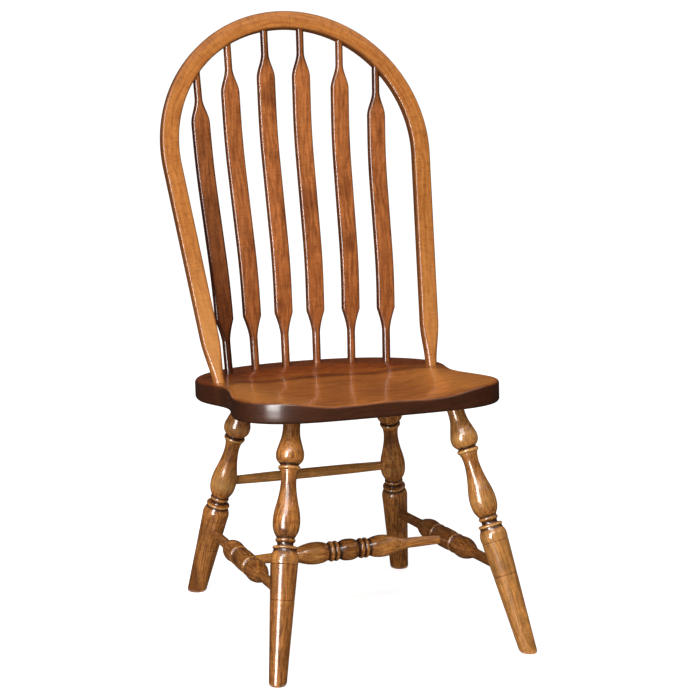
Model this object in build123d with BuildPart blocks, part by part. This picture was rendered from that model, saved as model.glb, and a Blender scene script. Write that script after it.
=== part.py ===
from build123d import *

import os
from math import cos, exp, hypot, radians, sin, sqrt, tan

# Bow-back Windsor side chair with flat arrow spindles.
# Millimetres and degrees. +Z is up, the chair faces -Y, and the origin is on the floor
# under the middle of the chair. Left is -X.

# Fits
GLUE_LINE = 0.1  # gap round a glued tenon, on the radius
SOCKET_ROOM = 1.0  # depth of a blind socket beyond its tenon
PIN_FIT = 0.05  # gap round a pin or a screw, on the radius

# Seat plank, measured on its own tilted top plane
SEAT_HEIGHT = 434.0  # top of the plank above the floor at the origin
SEAT_TILT = 5.4  # the rear is lower
SEAT_THICKNESS = 37.0
SEAT_FRONT = 231.0  # origin to the front edge
SEAT_FRONT_FLAT = 216.0  # nearly straight width of the front edge
SEAT_FRONT_CURVE = 2.0  # that part bends back by this much
SEAT_CORNER_WIDTH = 411.0  # across the round front corners
SEAT_CORNER_AT = 31.0  # behind the front edge
SEAT_FRONT_WIDTH = 478.0
SEAT_FRONT_WIDTH_AT = -150.0
SEAT_WAIST_WIDTH = 434.0
SEAT_WAIST_AT = -8.0
SEAT_EDGE_ROUND = 5.0
BOW_MARGIN = 28.0  # bow foot centre to the side edge
BOW_MARGIN_AT = 16.0  # the rear is widest this far behind the bow feet
SEAT_QUARTERS = ((0.94, 0.61), (0.62, 0.885))  # shares of the rear half width and depth
DECK_MARGIN = 57.5  # spindle row to the rear edge

# Saddle scooped into the seat
SADDLE_DEPTH = 14.0
SADDLE_FRONT_DEPTH = 11.5
SADDLE_FLOOR_WIDTH = 180.0  # full depth between these sides
SADDLE_WIDTH = 386.0
SADDLE_REAR_SLOPE = 66.0  # length of the slope up to the spindle deck
DECK_STEP = 9.0  # spindle row to the start of that slope
POMMEL_HEIGHT = 2.5
POMMEL_WIDTH = 90.0
SADDLE_GRID = 20.0  # spacing of the points that shape the scoop

# Bow, measured on its own reclined plane
BOW_FOOT_AT = 66.0  # behind the origin, on the seat
BOW_RECLINE = 22.0
BOW_RADIUS = 241.4  # centreline of the round top
BOW_CENTRE = 416.0  # seat to the centre of the round top
BOW_LEAN = 5.26  # each limb leans outwards
BOW_WIDTH = 32.5
BOW_DEPTH = 19.0
BOW_EDGE_ROUND = 4.0
BOW_FOOT_D = 21.0  # round end of each limb at the seat
BOW_FOOT_TAPER = 80.0  # the limb turns from round to flat over this length
BOW_TENON_D = 18.0
BOW_TENON_FLOOR = 13.0  # wood left under the tenon

# Spindles, in pairs from the middle outwards
SPINDLE_BASE_X = (30.5, 94.2, 153.9)
SPINDLE_TOP_X = (34.9, 108.9, 174.2)
SPINDLE_ROW_AT = 197.5  # rearmost point of the arc that the bases stand on
SPINDLE_ROW_RADIUS = 322.0
SPINDLE_TOP_BACK = 2.0  # the spindles meet the bow behind its middle
SPINDLE_SHANK_D = 15.0
SPINDLE_WIDTH = 33.5
SPINDLE_THICKNESS = 14.5
SPINDLE_EDGE_ROUND = 4.5
SPINDLE_SHANK = 61.0  # round length above the seat
SPINDLE_SHOULDER = 35.0  # length over which the shank widens to the blade
SPINDLE_NECK = 44.0  # round length below the bow
SPINDLE_NECK_D = 14.0
SPINDLE_NECK_SHOULDER = 35.0
SPINDLE_END_SWING = 3.5  # the ends lean less than the straight line between them
SPINDLE_BEND_AT = 0.306  # share of the length at which each bend lies
SPINDLE_BEND_RADIUS = 600.0
SPINDLE_TENON = 20.0
SPINDLE_TOP_TENON_D = 11.0
SPINDLE_TOP_TENON = 16.0

# Stance: feet on the floor, sockets on the underside of the seat
FRONT_SPLAY_X = 81.0  # each front foot stands this far outside its socket
FRONT_FOOT_Y = -314.3
REAR_FOOT_X = 204.0
REAR_FOOT_Y = 201.5
FRONT_SOCKET_INSET = 89.5  # from the widest side of the seat
FRONT_SOCKET_Y = -157.0
REAR_SOCKET_X = 138.5
REAR_SOCKET_Y = 118.5

# Turned leg: diameters, and distances down the leg from the seat
LEG_TENON_D = 22.0
LEG_TENON_FLOOR = 15.0  # seat thickness less the tenon
LEG_TOP_D = 29.5
LEG_TOP_FLARE = 1.2  # growth of the radius halfway to the bulb
LEG_BULB_D = 48.0
LEG_BULB_AT = 61.0
LEG_RING_D = 38.0
LEG_RING_AT = 84.5
LEG_NECK_D = 26.5
LEG_NECK_AT = 103.0
LEG_NECK_FLARE = 4.2  # growth of the radius halfway to the vase
LEG_VASE_D = 46.5
LEG_VASE_AT = 177.0
LEG_BEAD_D = 34.0
LEG_BEAD_AT = 207.0
LEG_COVE_D = 27.5
LEG_COVE_AT = 213.5
LEG_FILLET_D = 42.5
LEG_FILLET_AT = 219.5
LEG_COLLAR_NECK_D = 39.0
LEG_COLLAR_D = 48.0
LEG_COLLAR_AT = 239.0
LEG_GROOVE_AT = 248.0
LEG_TAPER_D = 46.8
LEG_FOOT_D = 30.0
LEG_SCRIBE_AT = 308.5
LEG_RING_LENGTH = 8.6
LEG_BEAD_LENGTH = 7.0
LEG_FILLET_LENGTH = 5.0
LEG_ROOT_D = 30.0  # where a swell meets a ring or a bead
GROOVE_WIDTH = 1.6
GROOVE_DEPTH = 1.0
FOOT_CHAMFER = 2.0
STRAIGHT_DOWN = (0, 1)  # directions of the turned outline, radius first
BULB_FALL = (-1, 0.5)
NECK_FALL = (-1, 1)
VASE_FALL = (-1, 0.9)
COLLAR_RISE = (0.3, 1)
COLLAR_FALL = (-0.3, 1)
STRETCHER_RISE = (1, 0.6)
STRETCHER_FALL = (-0.1, 1)

# Stretchers: where they meet the legs, then diameters and distances from their middle
SIDE_FRONT_AT = 297.0  # down the front leg
SIDE_REAR_AT = 276.0  # down the rear leg
SIDE_BARREL_D = 37.0
SIDE_BARREL = 68.0
SIDE_BEAD_D = 36.5
SIDE_BEAD = 7.0
SIDE_ROOT_D = 31.0
SIDE_BULB_D = 38.5
SIDE_BULB_AT = 71.0
SIDE_SHANK_D = 18.5
SIDE_SHANK_AT = 112.0
SIDE_TENON_D = 17.0
CENTRE_BALL_D = 39.0
CENTRE_BALL = 39.0
CENTRE_BEAD_D = 36.5
CENTRE_BEAD = 9.0
CENTRE_ROOT_D = 28.5
CENTRE_VASE_D = 40.0
CENTRE_VASE_AT = 64.0
CENTRE_SHANK_D = 19.0
CENTRE_SHANK_AT = 112.0
CENTRE_TENON_D = 15.0
REAR_AT = 173.0  # down the rear leg
REAR_D = 19.0
REAR_TENON_D = 16.0
TENON_PAST_AXIS = 3.0  # stretcher tenons run past the axis of what they enter
TENON_STRAIGHT = 34.0  # length of the tenon that keeps its diameter

# Hidden fastenings
WEDGE_THICKNESS = 3.6
WEDGE_TIP = 1.0
WEDGE_LENGTH = 15.0
WEDGE_WIDTH = 17.0
SCREW_D = 4.0
SCREW_HEAD_D = 8.0
SCREW_HEAD = 3.0
SCREW_BITE = 15.0  # into the tenon of the bow
SCREW_SINK = 6.0  # depth of the recess for the head
PIN_D = 1.6
PIN_HEAD_D = 2.4
PIN_HEAD = 0.8
PIN_SINK = 1.0  # head below the surface
PIN_BITE = 3.0  # past the axis of the tenon
PIN_BACK = 8.0  # from the axis of the leg, back along the stretcher

os.makedirs("parts", exist_ok=True)

SIDES = {"left": -1, "right": 1}
GROWING = (Align.CENTER, Align.CENTER, Align.MIN)


def smooth(low, high, value):
    """Ease from 0 at low to 1 at high."""
    share = min(max((value - low) / (high - low), 0), 1)
    return share * share * (3 - 2 * share)


def toward(start, end):
    """Plane at start whose Z axis points at end."""
    return Plane(origin=start, z_dir=end - start)


def lathe_plane(start, end):
    """Plane whose Y axis runs from start to end and whose X axis is the turned radius."""
    across = toward(start, end).x_dir
    return Plane(origin=start, x_dir=across, z_dir=across.cross(end - start))


def rod(plane, diameter, length):
    """Add a round rod from the plane along its Z axis."""
    with Locations(plane):
        Cylinder(diameter / 2, length, align=GROWING)


def bore(plane, diameter, length, fit):
    """Cut a round hole for a rod of that diameter from the plane along its Z axis."""
    with Locations(plane):
        Cylinder(diameter / 2 + fit, length, align=GROWING, mode=Mode.SUBTRACT)


def pin_hole(plane, length):
    """Cut the hole of a pin that is driven in at the plane."""
    bore(plane, PIN_D, PIN_SINK + length + PIN_FIT, PIN_FIT)
    bore(plane.offset(-PIN_HEAD_D), PIN_HEAD_D, PIN_HEAD_D + PIN_SINK + PIN_HEAD, PIN_FIT)


def pin(plane, length):
    """Add a pin with a flat head, sunk below the plane."""
    rod(plane.offset(PIN_SINK), PIN_D, length)
    rod(plane.offset(PIN_SINK), PIN_HEAD_D, PIN_HEAD)


def save(builder, name):
    """Label one finished piece and write it."""
    builder.part.label = name
    export_step(builder.part, f"parts/{name}.step")


# Seat and bow planes
tilt = radians(SEAT_TILT)
seat_top = Plane(origin=(0, 0, SEAT_HEIGHT), x_dir=(1, 0, 0), z_dir=(0, sin(tilt), cos(tilt)))
seat_bottom = seat_top.offset(-SEAT_THICKNESS)
recline = radians(BOW_RECLINE)
bow_plane = Plane(
    origin=seat_top.from_local_coords((0, BOW_FOOT_AT, 0)),
    x_dir=(1, 0, 0),
    z_dir=(0, -cos(recline), sin(recline)),
)

# Bow outline
lean = radians(BOW_LEAN)
bow_foot_x = (BOW_RADIUS - BOW_CENTRE * sin(lean)) / cos(lean)
bow_inner_radius = BOW_RADIUS - BOW_WIDTH / 2
bow_tenon = SEAT_THICKNESS - BOW_TENON_FLOOR


def limb(side, height):
    """Point on the centreline of a limb of the bow, this far up from the seat."""
    return (side * (bow_foot_x + height * sin(lean)), height * cos(lean), 0)


def limb_plane(side, height):
    """Cross-section plane of a limb: Z runs up the limb, X across its face."""
    here = bow_plane.from_local_coords(limb(side, height))
    up = bow_plane.x_dir * side * sin(lean) + bow_plane.y_dir * cos(lean)
    return Plane(origin=here, x_dir=up.cross(bow_plane.z_dir), z_dir=up)


# Legs
def leg_ends(end, side):
    """Socket point on the underside of the seat, and foot point on the floor."""
    if end == "front":
        socket_x = SEAT_FRONT_WIDTH / 2 - FRONT_SOCKET_INSET
        socket = (side * socket_x, FRONT_SOCKET_Y, 0)
        foot = Vector(side * (socket_x + FRONT_SPLAY_X), FRONT_FOOT_Y, 0)
    else:
        socket = (side * REAR_SOCKET_X, REAR_SOCKET_Y, 0)
        foot = Vector(side * REAR_FOOT_X, REAR_FOOT_Y, 0)
    return seat_bottom.from_local_coords(socket), foot


def leg_axis(end, side):
    """Unit vector down a leg."""
    socket, foot = leg_ends(end, side)
    return (foot - socket).normalized()


def on_leg(end, side, distance):
    """Point on the axis of a leg, this far down from the seat."""
    return leg_ends(end, side)[0] + leg_axis(end, side) * distance


front_socket, front_foot = leg_ends("front", 1)
leg_length = (front_foot - front_socket).length
leg_tenon = SEAT_THICKNESS - LEG_TENON_FLOOR


def taper_radius(distance):
    """Radius of the tapered lower part of a leg, this far down from the seat."""
    share = (distance - LEG_GROOVE_AT) / (leg_length - LEG_GROOVE_AT)
    return (LEG_TAPER_D + share * (LEG_FOOT_D - LEG_TAPER_D)) / 2


# Stretchers: the points where their axes meet the axes of what they enter
def side_joints(side):
    """Rear and front joints of a side stretcher."""
    return on_leg("rear", side, SIDE_REAR_AT), on_leg("front", side, SIDE_FRONT_AT)


def side_middle(side):
    """Middle of a side stretcher, where the centre stretcher enters."""
    rear, front = side_joints(side)
    return (rear + front) / 2


def socket_plane(joint, middle):
    """Plane outside a leg or stretcher, from which the socket of a stretcher is cut."""
    return toward(joint + (middle - joint).normalized() * TENON_STRAIGHT, joint)


def cross_pin(joint, middle, axis, radius, facing):
    """Plane where a pin enters to cross a stretcher tenon, and the length of the pin."""
    along = (middle - joint).normalized()
    across = axis.cross(along).normalized()
    if across.dot(facing) < 0:
        across = -across
    off_axis = PIN_BACK * sqrt(1 - along.dot(axis) ** 2)
    reach = sqrt(radius**2 - off_axis**2)
    start = joint + along * PIN_BACK - across * reach
    return Plane(origin=start, z_dir=across), reach - PIN_SINK + PIN_BITE


def side_pin(end, side):
    """Pin through the inner face of a leg into a side stretcher."""
    distance = SIDE_FRONT_AT if end == "front" else SIDE_REAR_AT
    joint = on_leg(end, side, distance)
    radius = taper_radius(distance)
    return cross_pin(joint, side_middle(side), leg_axis(end, side), radius, Vector(side, 0, 0))


def rear_pin(side):
    """Pin through the back of a rear leg into the rear stretcher."""
    joint = on_leg("rear", side, REAR_AT)
    middle = (joint + on_leg("rear", -side, REAR_AT)) / 2
    return cross_pin(joint, middle, leg_axis("rear", side), LEG_VASE_D / 2, Vector(0, -1, 0))


def centre_pin(side):
    """Pin up through a side stretcher into the centre stretcher."""
    rear, front = side_joints(side)
    middle = (side_middle(-1) + side_middle(1)) / 2
    axis = (front - rear).normalized()
    return cross_pin(side_middle(side), middle, axis, SIDE_BARREL_D / 2, Vector(0, 0, 1))


# Spindles: side is -1 or 1, pair counts from the middle outwards
SPINDLES = [(-1, 2), (-1, 1), (-1, 0), (1, 0), (1, 1), (1, 2)]
row_centre = SPINDLE_ROW_AT - SPINDLE_ROW_RADIUS


def spindle_plane(side, pair):
    """Plane of a spindle: X runs from its base to its top and Y towards the rear."""
    base_x = SPINDLE_BASE_X[pair]
    base_y = row_centre + sqrt(SPINDLE_ROW_RADIUS**2 - base_x**2)
    base = seat_top.from_local_coords((side * base_x, base_y, 0))
    top_x = SPINDLE_TOP_X[pair]
    top_height = BOW_CENTRE + sqrt(bow_inner_radius**2 - top_x**2)
    top = bow_plane.from_local_coords((side * top_x, top_height, -SPINDLE_TOP_BACK))
    rise = top - base
    return Plane(origin=base, x_dir=rise, z_dir=rise.cross(Vector(0, 1, 0))), rise.length


def spindle_corners(length):
    """Base, lower bend, upper bend and top of a spindle, in its own plane."""
    bend = SPINDLE_BEND_AT * length
    swing = bend * tan(radians(SPINDLE_END_SWING))
    return [(0, 0, 0), (bend, -swing, 0), (length - bend, swing, 0), (length, 0, 0)]


def spindle_end(side, pair, top):
    """Plane at one end of a spindle, with Z along the spindle towards its middle."""
    plane, length = spindle_plane(side, pair)
    base, lower, upper, crown = [plane.from_local_coords(p) for p in spindle_corners(length)]
    start, inward = (crown, upper) if top else (base, lower)
    return Plane(origin=start, x_dir=plane.z_dir, z_dir=inward - start)


def spindle_pin(side, pair):
    """Plane on the back of the bow where the pin of a spindle enters, and its length."""
    tenon_middle = spindle_end(side, pair, True).offset(-SPINDLE_TOP_TENON / 2).origin
    x, height, _ = bow_plane.to_local_coords(tenon_middle)
    start = bow_plane.from_local_coords((x, height, -BOW_DEPTH / 2))
    return Plane(origin=start, z_dir=bow_plane.z_dir), BOW_DEPTH / 2 - PIN_SINK + PIN_BITE


# Screws up into the bow
limb_in_seat = SEAT_THICKNESS / limb_plane(1, 0).z_dir.dot(seat_top.z_dir)
screw_length = limb_in_seat - bow_tenon + SCREW_BITE - SCREW_SINK + SCREW_HEAD


def screw_plane(side):
    """Plane where the axis of a limb leaves the underside of the seat; Z runs up the limb."""
    return limb_plane(side, -limb_in_seat)


# Seat
def saddle(x, y):
    """Depth of the scoop below the top plane of the seat."""
    deck = SPINDLE_ROW_RADIUS - DECK_STEP
    rear = 1 - smooth(deck - SADDLE_REAR_SLOPE, deck, hypot(x, y - row_centre))
    side = 1 - smooth(SADDLE_FLOOR_WIDTH / 2, SADDLE_WIDTH / 2, abs(x))
    backwards = smooth(-SEAT_FRONT, 0, y)
    depth = SADDLE_FRONT_DEPTH + backwards * (SADDLE_DEPTH - SADDLE_FRONT_DEPTH)
    pommel = POMMEL_HEIGHT * (1 - backwards) * exp(-((2 * x / POMMEL_WIDTH) ** 2))
    return rear * side * (depth - pommel)


seat_rear = SPINDLE_ROW_AT + DECK_MARGIN
seat_rear_half = bow_foot_x + BOW_MARGIN
grid_width = SEAT_FRONT_WIDTH + 2 * SADDLE_GRID
grid_depth = SEAT_FRONT + seat_rear + 2 * SADDLE_GRID
columns = round(grid_width / SADDLE_GRID)
rows = round(grid_depth / SADDLE_GRID)
saddle_points = []
for row in range(rows + 1):
    y = -SEAT_FRONT - SADDLE_GRID + row * grid_depth / rows
    line = []
    for column in range(columns + 1):
        x = -grid_width / 2 + column * grid_width / columns
        line.append(seat_top.from_local_coords((x, y, -saddle(x, y))))
    saddle_points.append(line)
saddle_face = Face.make_surface_from_array_of_points(saddle_points)

with BuildPart() as seat:
    with BuildSketch(seat_bottom):
        with BuildLine():
            right = [
                (SEAT_FRONT_FLAT / 2, -SEAT_FRONT + SEAT_FRONT_CURVE),
                (SEAT_CORNER_WIDTH / 2, -SEAT_FRONT + SEAT_CORNER_AT),
                (SEAT_FRONT_WIDTH / 2, SEAT_FRONT_WIDTH_AT),
                (SEAT_WAIST_WIDTH / 2, SEAT_WAIST_AT),
                (seat_rear_half, BOW_FOOT_AT + BOW_MARGIN_AT),
            ]
            right += [(across * seat_rear_half, back * seat_rear) for across, back in SEAT_QUARTERS]
            left = [(-x, y) for x, y in reversed(right)]
            Spline((0, seat_rear), *left, (0, -SEAT_FRONT), *right, periodic=True)
        make_face()
    extrude(amount=SEAT_THICKNESS + SEAT_EDGE_ROUND)
    extrude(saddle_face, amount=2 * SEAT_THICKNESS, dir=seat_top.z_dir, mode=Mode.SUBTRACT)
    fillet(seat.faces().filter_by(GeomType.PLANE).edges(), SEAT_EDGE_ROUND)
    fillet(seat.edges().group_by(Axis.Z)[-1], SEAT_EDGE_ROUND)
    for side in SIDES.values():
        for end in ("front", "rear"):
            socket, foot = leg_ends(end, side)
            up_leg = Plane(origin=socket, z_dir=socket - foot)
            depth = LEG_TOP_D + leg_tenon + SOCKET_ROOM
            bore(up_leg.offset(-LEG_TOP_D), LEG_TENON_D, depth, GLUE_LINE)
        tenon_end = limb_plane(side, 0).offset(-bow_tenon - SOCKET_ROOM)
        bore(tenon_end, BOW_TENON_D, SEAT_THICKNESS, GLUE_LINE)
        bore(screw_plane(side), SCREW_D, SEAT_THICKNESS, PIN_FIT)
        recess = screw_plane(side).offset(-SCREW_HEAD_D)
        bore(recess, SCREW_HEAD_D, SCREW_HEAD_D + SCREW_SINK, PIN_FIT)
    for side, pair in SPINDLES:
        base = spindle_end(side, pair, False)
        bore(base.offset(-SPINDLE_TENON - SOCKET_ROOM), SPINDLE_SHANK_D, SEAT_THICKNESS, GLUE_LINE)
save(seat, "seat")

# Bow
with BuildPart() as bow:
    with BuildLine(bow_plane) as hoop:
        shoulder_x = BOW_RADIUS * cos(lean)
        shoulder_height = BOW_CENTRE - BOW_RADIUS * sin(lean)
        Line(limb(1, BOW_FOOT_TAPER), (shoulder_x, shoulder_height))
        ThreePointArc(
            (shoulder_x, shoulder_height),
            (0, BOW_CENTRE + BOW_RADIUS),
            (-shoulder_x, shoulder_height),
        )
        Line((-shoulder_x, shoulder_height), limb(-1, BOW_FOOT_TAPER))
    with BuildSketch(limb_plane(1, BOW_FOOT_TAPER)):
        RectangleRounded(BOW_WIDTH, BOW_DEPTH, BOW_EDGE_ROUND)
    sweep(path=hoop.wires()[0])
    for side in SIDES.values():
        with BuildSketch(limb_plane(side, BOW_FOOT_TAPER)):
            RectangleRounded(BOW_WIDTH, BOW_DEPTH, BOW_EDGE_ROUND)
        with BuildSketch(limb_plane(side, 0)):
            Circle(BOW_FOOT_D / 2)
        with BuildSketch(limb_plane(side, -BOW_FOOT_D)):
            Circle(BOW_FOOT_D / 2)
        loft(ruled=True)
    split(bisect_by=seat_top.offset(GLUE_LINE), keep=Keep.TOP)
    for side in SIDES.values():
        rod(limb_plane(side, -bow_tenon), BOW_TENON_D, bow_tenon + BOW_FOOT_D)
        screw_tip = limb_plane(side, -bow_tenon + SCREW_BITE + PIN_FIT)
        bore(screw_tip.offset(-SEAT_THICKNESS), SCREW_D, SEAT_THICKNESS, PIN_FIT)
    for side, pair in SPINDLES:
        tenon_end = spindle_end(side, pair, True).offset(-SPINDLE_TOP_TENON - SOCKET_ROOM)
        bore(tenon_end, SPINDLE_TOP_TENON_D, 2 * BOW_WIDTH, GLUE_LINE)
        pin_hole(*spindle_pin(side, pair))
save(bow, "bow")


# Spindles
def build_neck(top):
    """The round neck of a spindle, cut to the inside of the bow."""
    bow_centre = bow_plane.from_local_coords((0, BOW_CENTRE, 0))
    with BuildPart() as neck:
        rod(top.offset(-SPINDLE_TOP_TENON), SPINDLE_NECK_D, SPINDLE_TOP_TENON + SPINDLE_NECK)
        with Locations(Plane(origin=bow_centre, x_dir=(1, 0, 0), z_dir=bow_plane.z_dir)):
            Cylinder(bow_inner_radius - GLUE_LINE, 2 * BOW_RADIUS, mode=Mode.INTERSECT)
    return neck.part


def build_spindle(side, pair):
    """One arrow spindle: a bent blade between a round shank and a round neck."""
    plane, length = spindle_plane(side, pair)
    corners = spindle_corners(length)
    base = spindle_end(side, pair, False)
    top = spindle_end(side, pair, True)
    blade_foot = base.offset(SPINDLE_SHANK + SPINDLE_SHOULDER)
    blade_head = top.offset(SPINDLE_NECK + SPINDLE_NECK_SHOULDER)
    with BuildPart() as spindle:
        with BuildLine(plane) as bend:
            FilletPolyline(
                blade_foot.origin,
                corners[1],
                corners[2],
                blade_head.origin,
                radius=SPINDLE_BEND_RADIUS,
            )
        with BuildSketch(blade_foot):
            RectangleRounded(SPINDLE_WIDTH, SPINDLE_THICKNESS, SPINDLE_EDGE_ROUND)
        sweep(path=bend.wires()[0])
        for end, straight, shoulder, diameter in (
            (base, SPINDLE_SHANK, SPINDLE_SHOULDER, SPINDLE_SHANK_D),
            (top, SPINDLE_NECK, SPINDLE_NECK_SHOULDER, SPINDLE_NECK_D),
        ):
            with BuildSketch(end.offset(straight)):
                Circle(diameter / 2)
            with BuildSketch(end.offset(straight + shoulder)):
                RectangleRounded(SPINDLE_WIDTH, SPINDLE_THICKNESS, SPINDLE_EDGE_ROUND)
            loft()
        rod(base.offset(-SPINDLE_TENON), SPINDLE_SHANK_D, SPINDLE_TENON + SPINDLE_SHANK)
        add(build_neck(top))
        rod(top.offset(-SPINDLE_TOP_TENON), SPINDLE_TOP_TENON_D, SPINDLE_TOP_TENON + SPINDLE_NECK)
        pin_hole(*spindle_pin(side, pair))
    return spindle


for number, (side, pair) in enumerate(SPINDLES, start=1):
    save(build_spindle(side, pair), f"spindle_{number}")


# Legs
def wedge_start():
    """Wide end of a wedge, on the floor of the leg socket."""
    return -leg_tenon - SOCKET_ROOM + GLUE_LINE


def build_leg(end, side):
    """One turned leg, cut to the slope of the seat and to the floor."""
    socket, foot = leg_ends(end, side)
    plane = lathe_plane(socket, foot)
    up_leg = Plane(origin=socket, z_dir=socket - foot)
    ring_half = LEG_RING_LENGTH / 2
    bead_half = LEG_BEAD_LENGTH / 2
    fillet_half = LEG_FILLET_LENGTH / 2
    groove_half = GROOVE_WIDTH / 2
    root = LEG_ROOT_D / 2
    collar_neck = LEG_COLLAR_NECK_D / 2
    groove_lip = (LEG_TAPER_D - GROOVE_DEPTH) / 2
    past_floor = leg_length + LEG_FOOT_D
    with BuildPart() as leg:
        with BuildSketch(plane):
            with BuildLine():
                Polyline((0, -LEG_TOP_D / 2), (LEG_TOP_D / 2, -LEG_TOP_D / 2), (LEG_TOP_D / 2, 0))
                Spline(
                    (LEG_TOP_D / 2, 0),
                    (LEG_TOP_D / 2 + LEG_TOP_FLARE, LEG_BULB_AT / 2),
                    (LEG_BULB_D / 2, LEG_BULB_AT),
                    (root, LEG_RING_AT - ring_half),
                    tangents=(STRAIGHT_DOWN, BULB_FALL),
                )
                ThreePointArc(
                    (root, LEG_RING_AT - ring_half),
                    (LEG_RING_D / 2, LEG_RING_AT),
                    (root, LEG_RING_AT + ring_half),
                )
                Spline(
                    (root, LEG_RING_AT + ring_half),
                    (LEG_NECK_D / 2, LEG_NECK_AT),
                    (LEG_NECK_D / 2 + LEG_NECK_FLARE, (LEG_NECK_AT + LEG_VASE_AT) / 2),
                    (LEG_VASE_D / 2, LEG_VASE_AT),
                    (root, LEG_BEAD_AT - bead_half),
                    tangents=(NECK_FALL, VASE_FALL),
                )
                ThreePointArc(
                    (root, LEG_BEAD_AT - bead_half),
                    (LEG_BEAD_D / 2, LEG_BEAD_AT),
                    (root, LEG_BEAD_AT + bead_half),
                )
                ThreePointArc(
                    (root, LEG_BEAD_AT + bead_half),
                    (LEG_COVE_D / 2, LEG_COVE_AT),
                    (root, LEG_FILLET_AT - fillet_half),
                )
                Line((root, LEG_FILLET_AT - fillet_half), (collar_neck, LEG_FILLET_AT - fillet_half))
                ThreePointArc(
                    (collar_neck, LEG_FILLET_AT - fillet_half),
                    (LEG_FILLET_D / 2, LEG_FILLET_AT),
                    (collar_neck, LEG_FILLET_AT + fillet_half),
                )
                Spline(
                    (collar_neck, LEG_FILLET_AT + fillet_half),
                    (LEG_COLLAR_D / 2, LEG_COLLAR_AT),
                    (groove_lip, LEG_GROOVE_AT - groove_half),
                    tangents=(COLLAR_RISE, COLLAR_FALL),
                )
                Polyline(
                    (groove_lip, LEG_GROOVE_AT - groove_half),
                    (LEG_TAPER_D / 2 - GROOVE_DEPTH, LEG_GROOVE_AT),
                    (taper_radius(LEG_GROOVE_AT + groove_half), LEG_GROOVE_AT + groove_half),
                    (taper_radius(LEG_SCRIBE_AT - groove_half), LEG_SCRIBE_AT - groove_half),
                    (taper_radius(LEG_SCRIBE_AT) - GROOVE_DEPTH, LEG_SCRIBE_AT),
                    (taper_radius(LEG_SCRIBE_AT + groove_half), LEG_SCRIBE_AT + groove_half),
                    (taper_radius(past_floor), past_floor),
                    (0, past_floor),
                    (0, -LEG_TOP_D / 2),
                )
            make_face()
        revolve(axis=Axis(socket, foot - socket))
        split(bisect_by=seat_bottom.offset(-GLUE_LINE), keep=Keep.BOTTOM)
        split(bisect_by=Plane.XY, keep=Keep.TOP)
        chamfer(leg.edges().group_by(Axis.Z)[0], FOOT_CHAMFER)
        rod(up_leg.offset(-LEG_TOP_D), LEG_TENON_D, LEG_TOP_D + leg_tenon)
        with BuildSketch(plane):
            with BuildLine():
                Polyline(
                    (-WEDGE_THICKNESS / 2 - GLUE_LINE, wedge_start()),
                    (WEDGE_THICKNESS / 2 + GLUE_LINE, wedge_start()),
                    (WEDGE_TIP / 2 + GLUE_LINE, wedge_start() + WEDGE_LENGTH + GLUE_LINE),
                    (-WEDGE_TIP / 2 - GLUE_LINE, wedge_start() + WEDGE_LENGTH + GLUE_LINE),
                    close=True,
                )
            make_face()
        extrude(amount=LEG_TENON_D, both=True, mode=Mode.SUBTRACT)
        joint = on_leg(end, side, SIDE_FRONT_AT if end == "front" else SIDE_REAR_AT)
        depth = TENON_STRAIGHT + TENON_PAST_AXIS + SOCKET_ROOM
        bore(socket_plane(joint, side_middle(side)), SIDE_TENON_D, depth, GLUE_LINE)
        pin_hole(*side_pin(end, side))
        if end == "rear":
            joint = on_leg(end, side, REAR_AT)
            bore(socket_plane(joint, on_leg(end, -side, REAR_AT)), REAR_TENON_D, depth, GLUE_LINE)
            pin_hole(*rear_pin(side))
    return leg


for end in ("front", "rear"):
    for side_name, side in SIDES.items():
        save(build_leg(end, side), f"leg_{end}_{side_name}")


# Stretchers
def build_side_stretcher(side):
    """One side stretcher: a barrel between two bulbs, with slender ends."""
    front = side_joints(side)[1]
    middle = side_middle(side)
    half_length = (front - middle).length + TENON_PAST_AXIS
    bead_start = SIDE_BARREL / 2
    bead_end = bead_start + SIDE_BEAD
    root = SIDE_ROOT_D / 2
    with BuildPart() as stretcher:
        with BuildSketch(lathe_plane(middle, front)):
            with BuildLine():
                TangentArc((SIDE_BARREL_D / 2, 0), (root, bead_start), tangent=STRAIGHT_DOWN)
                ThreePointArc(
                    (root, bead_start),
                    (SIDE_BEAD_D / 2, (bead_start + bead_end) / 2),
                    (root, bead_end),
                )
                Spline(
                    (root, bead_end),
                    (SIDE_BULB_D / 2, SIDE_BULB_AT),
                    (SIDE_SHANK_D / 2, SIDE_SHANK_AT),
                    tangents=(STRETCHER_RISE, STRETCHER_FALL),
                )
                Polyline(
                    (SIDE_SHANK_D / 2, SIDE_SHANK_AT),
                    (SIDE_TENON_D / 2, half_length - TENON_STRAIGHT),
                    (SIDE_TENON_D / 2, half_length),
                    (0, half_length),
                )
                mirror(about=Plane.XZ)
                Line((0, half_length), (0, -half_length))
            make_face()
        revolve(axis=Axis(middle, front - middle))
        depth = TENON_STRAIGHT + TENON_PAST_AXIS + SOCKET_ROOM
        bore(socket_plane(middle, side_middle(-side)), CENTRE_TENON_D, depth, GLUE_LINE)
        pin_hole(*side_pin("front", side))
        pin_hole(*side_pin("rear", side))
        pin_hole(*centre_pin(side))
    return stretcher


for side_name, side in SIDES.items():
    save(build_side_stretcher(side), f"side_stretcher_{side_name}")

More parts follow.
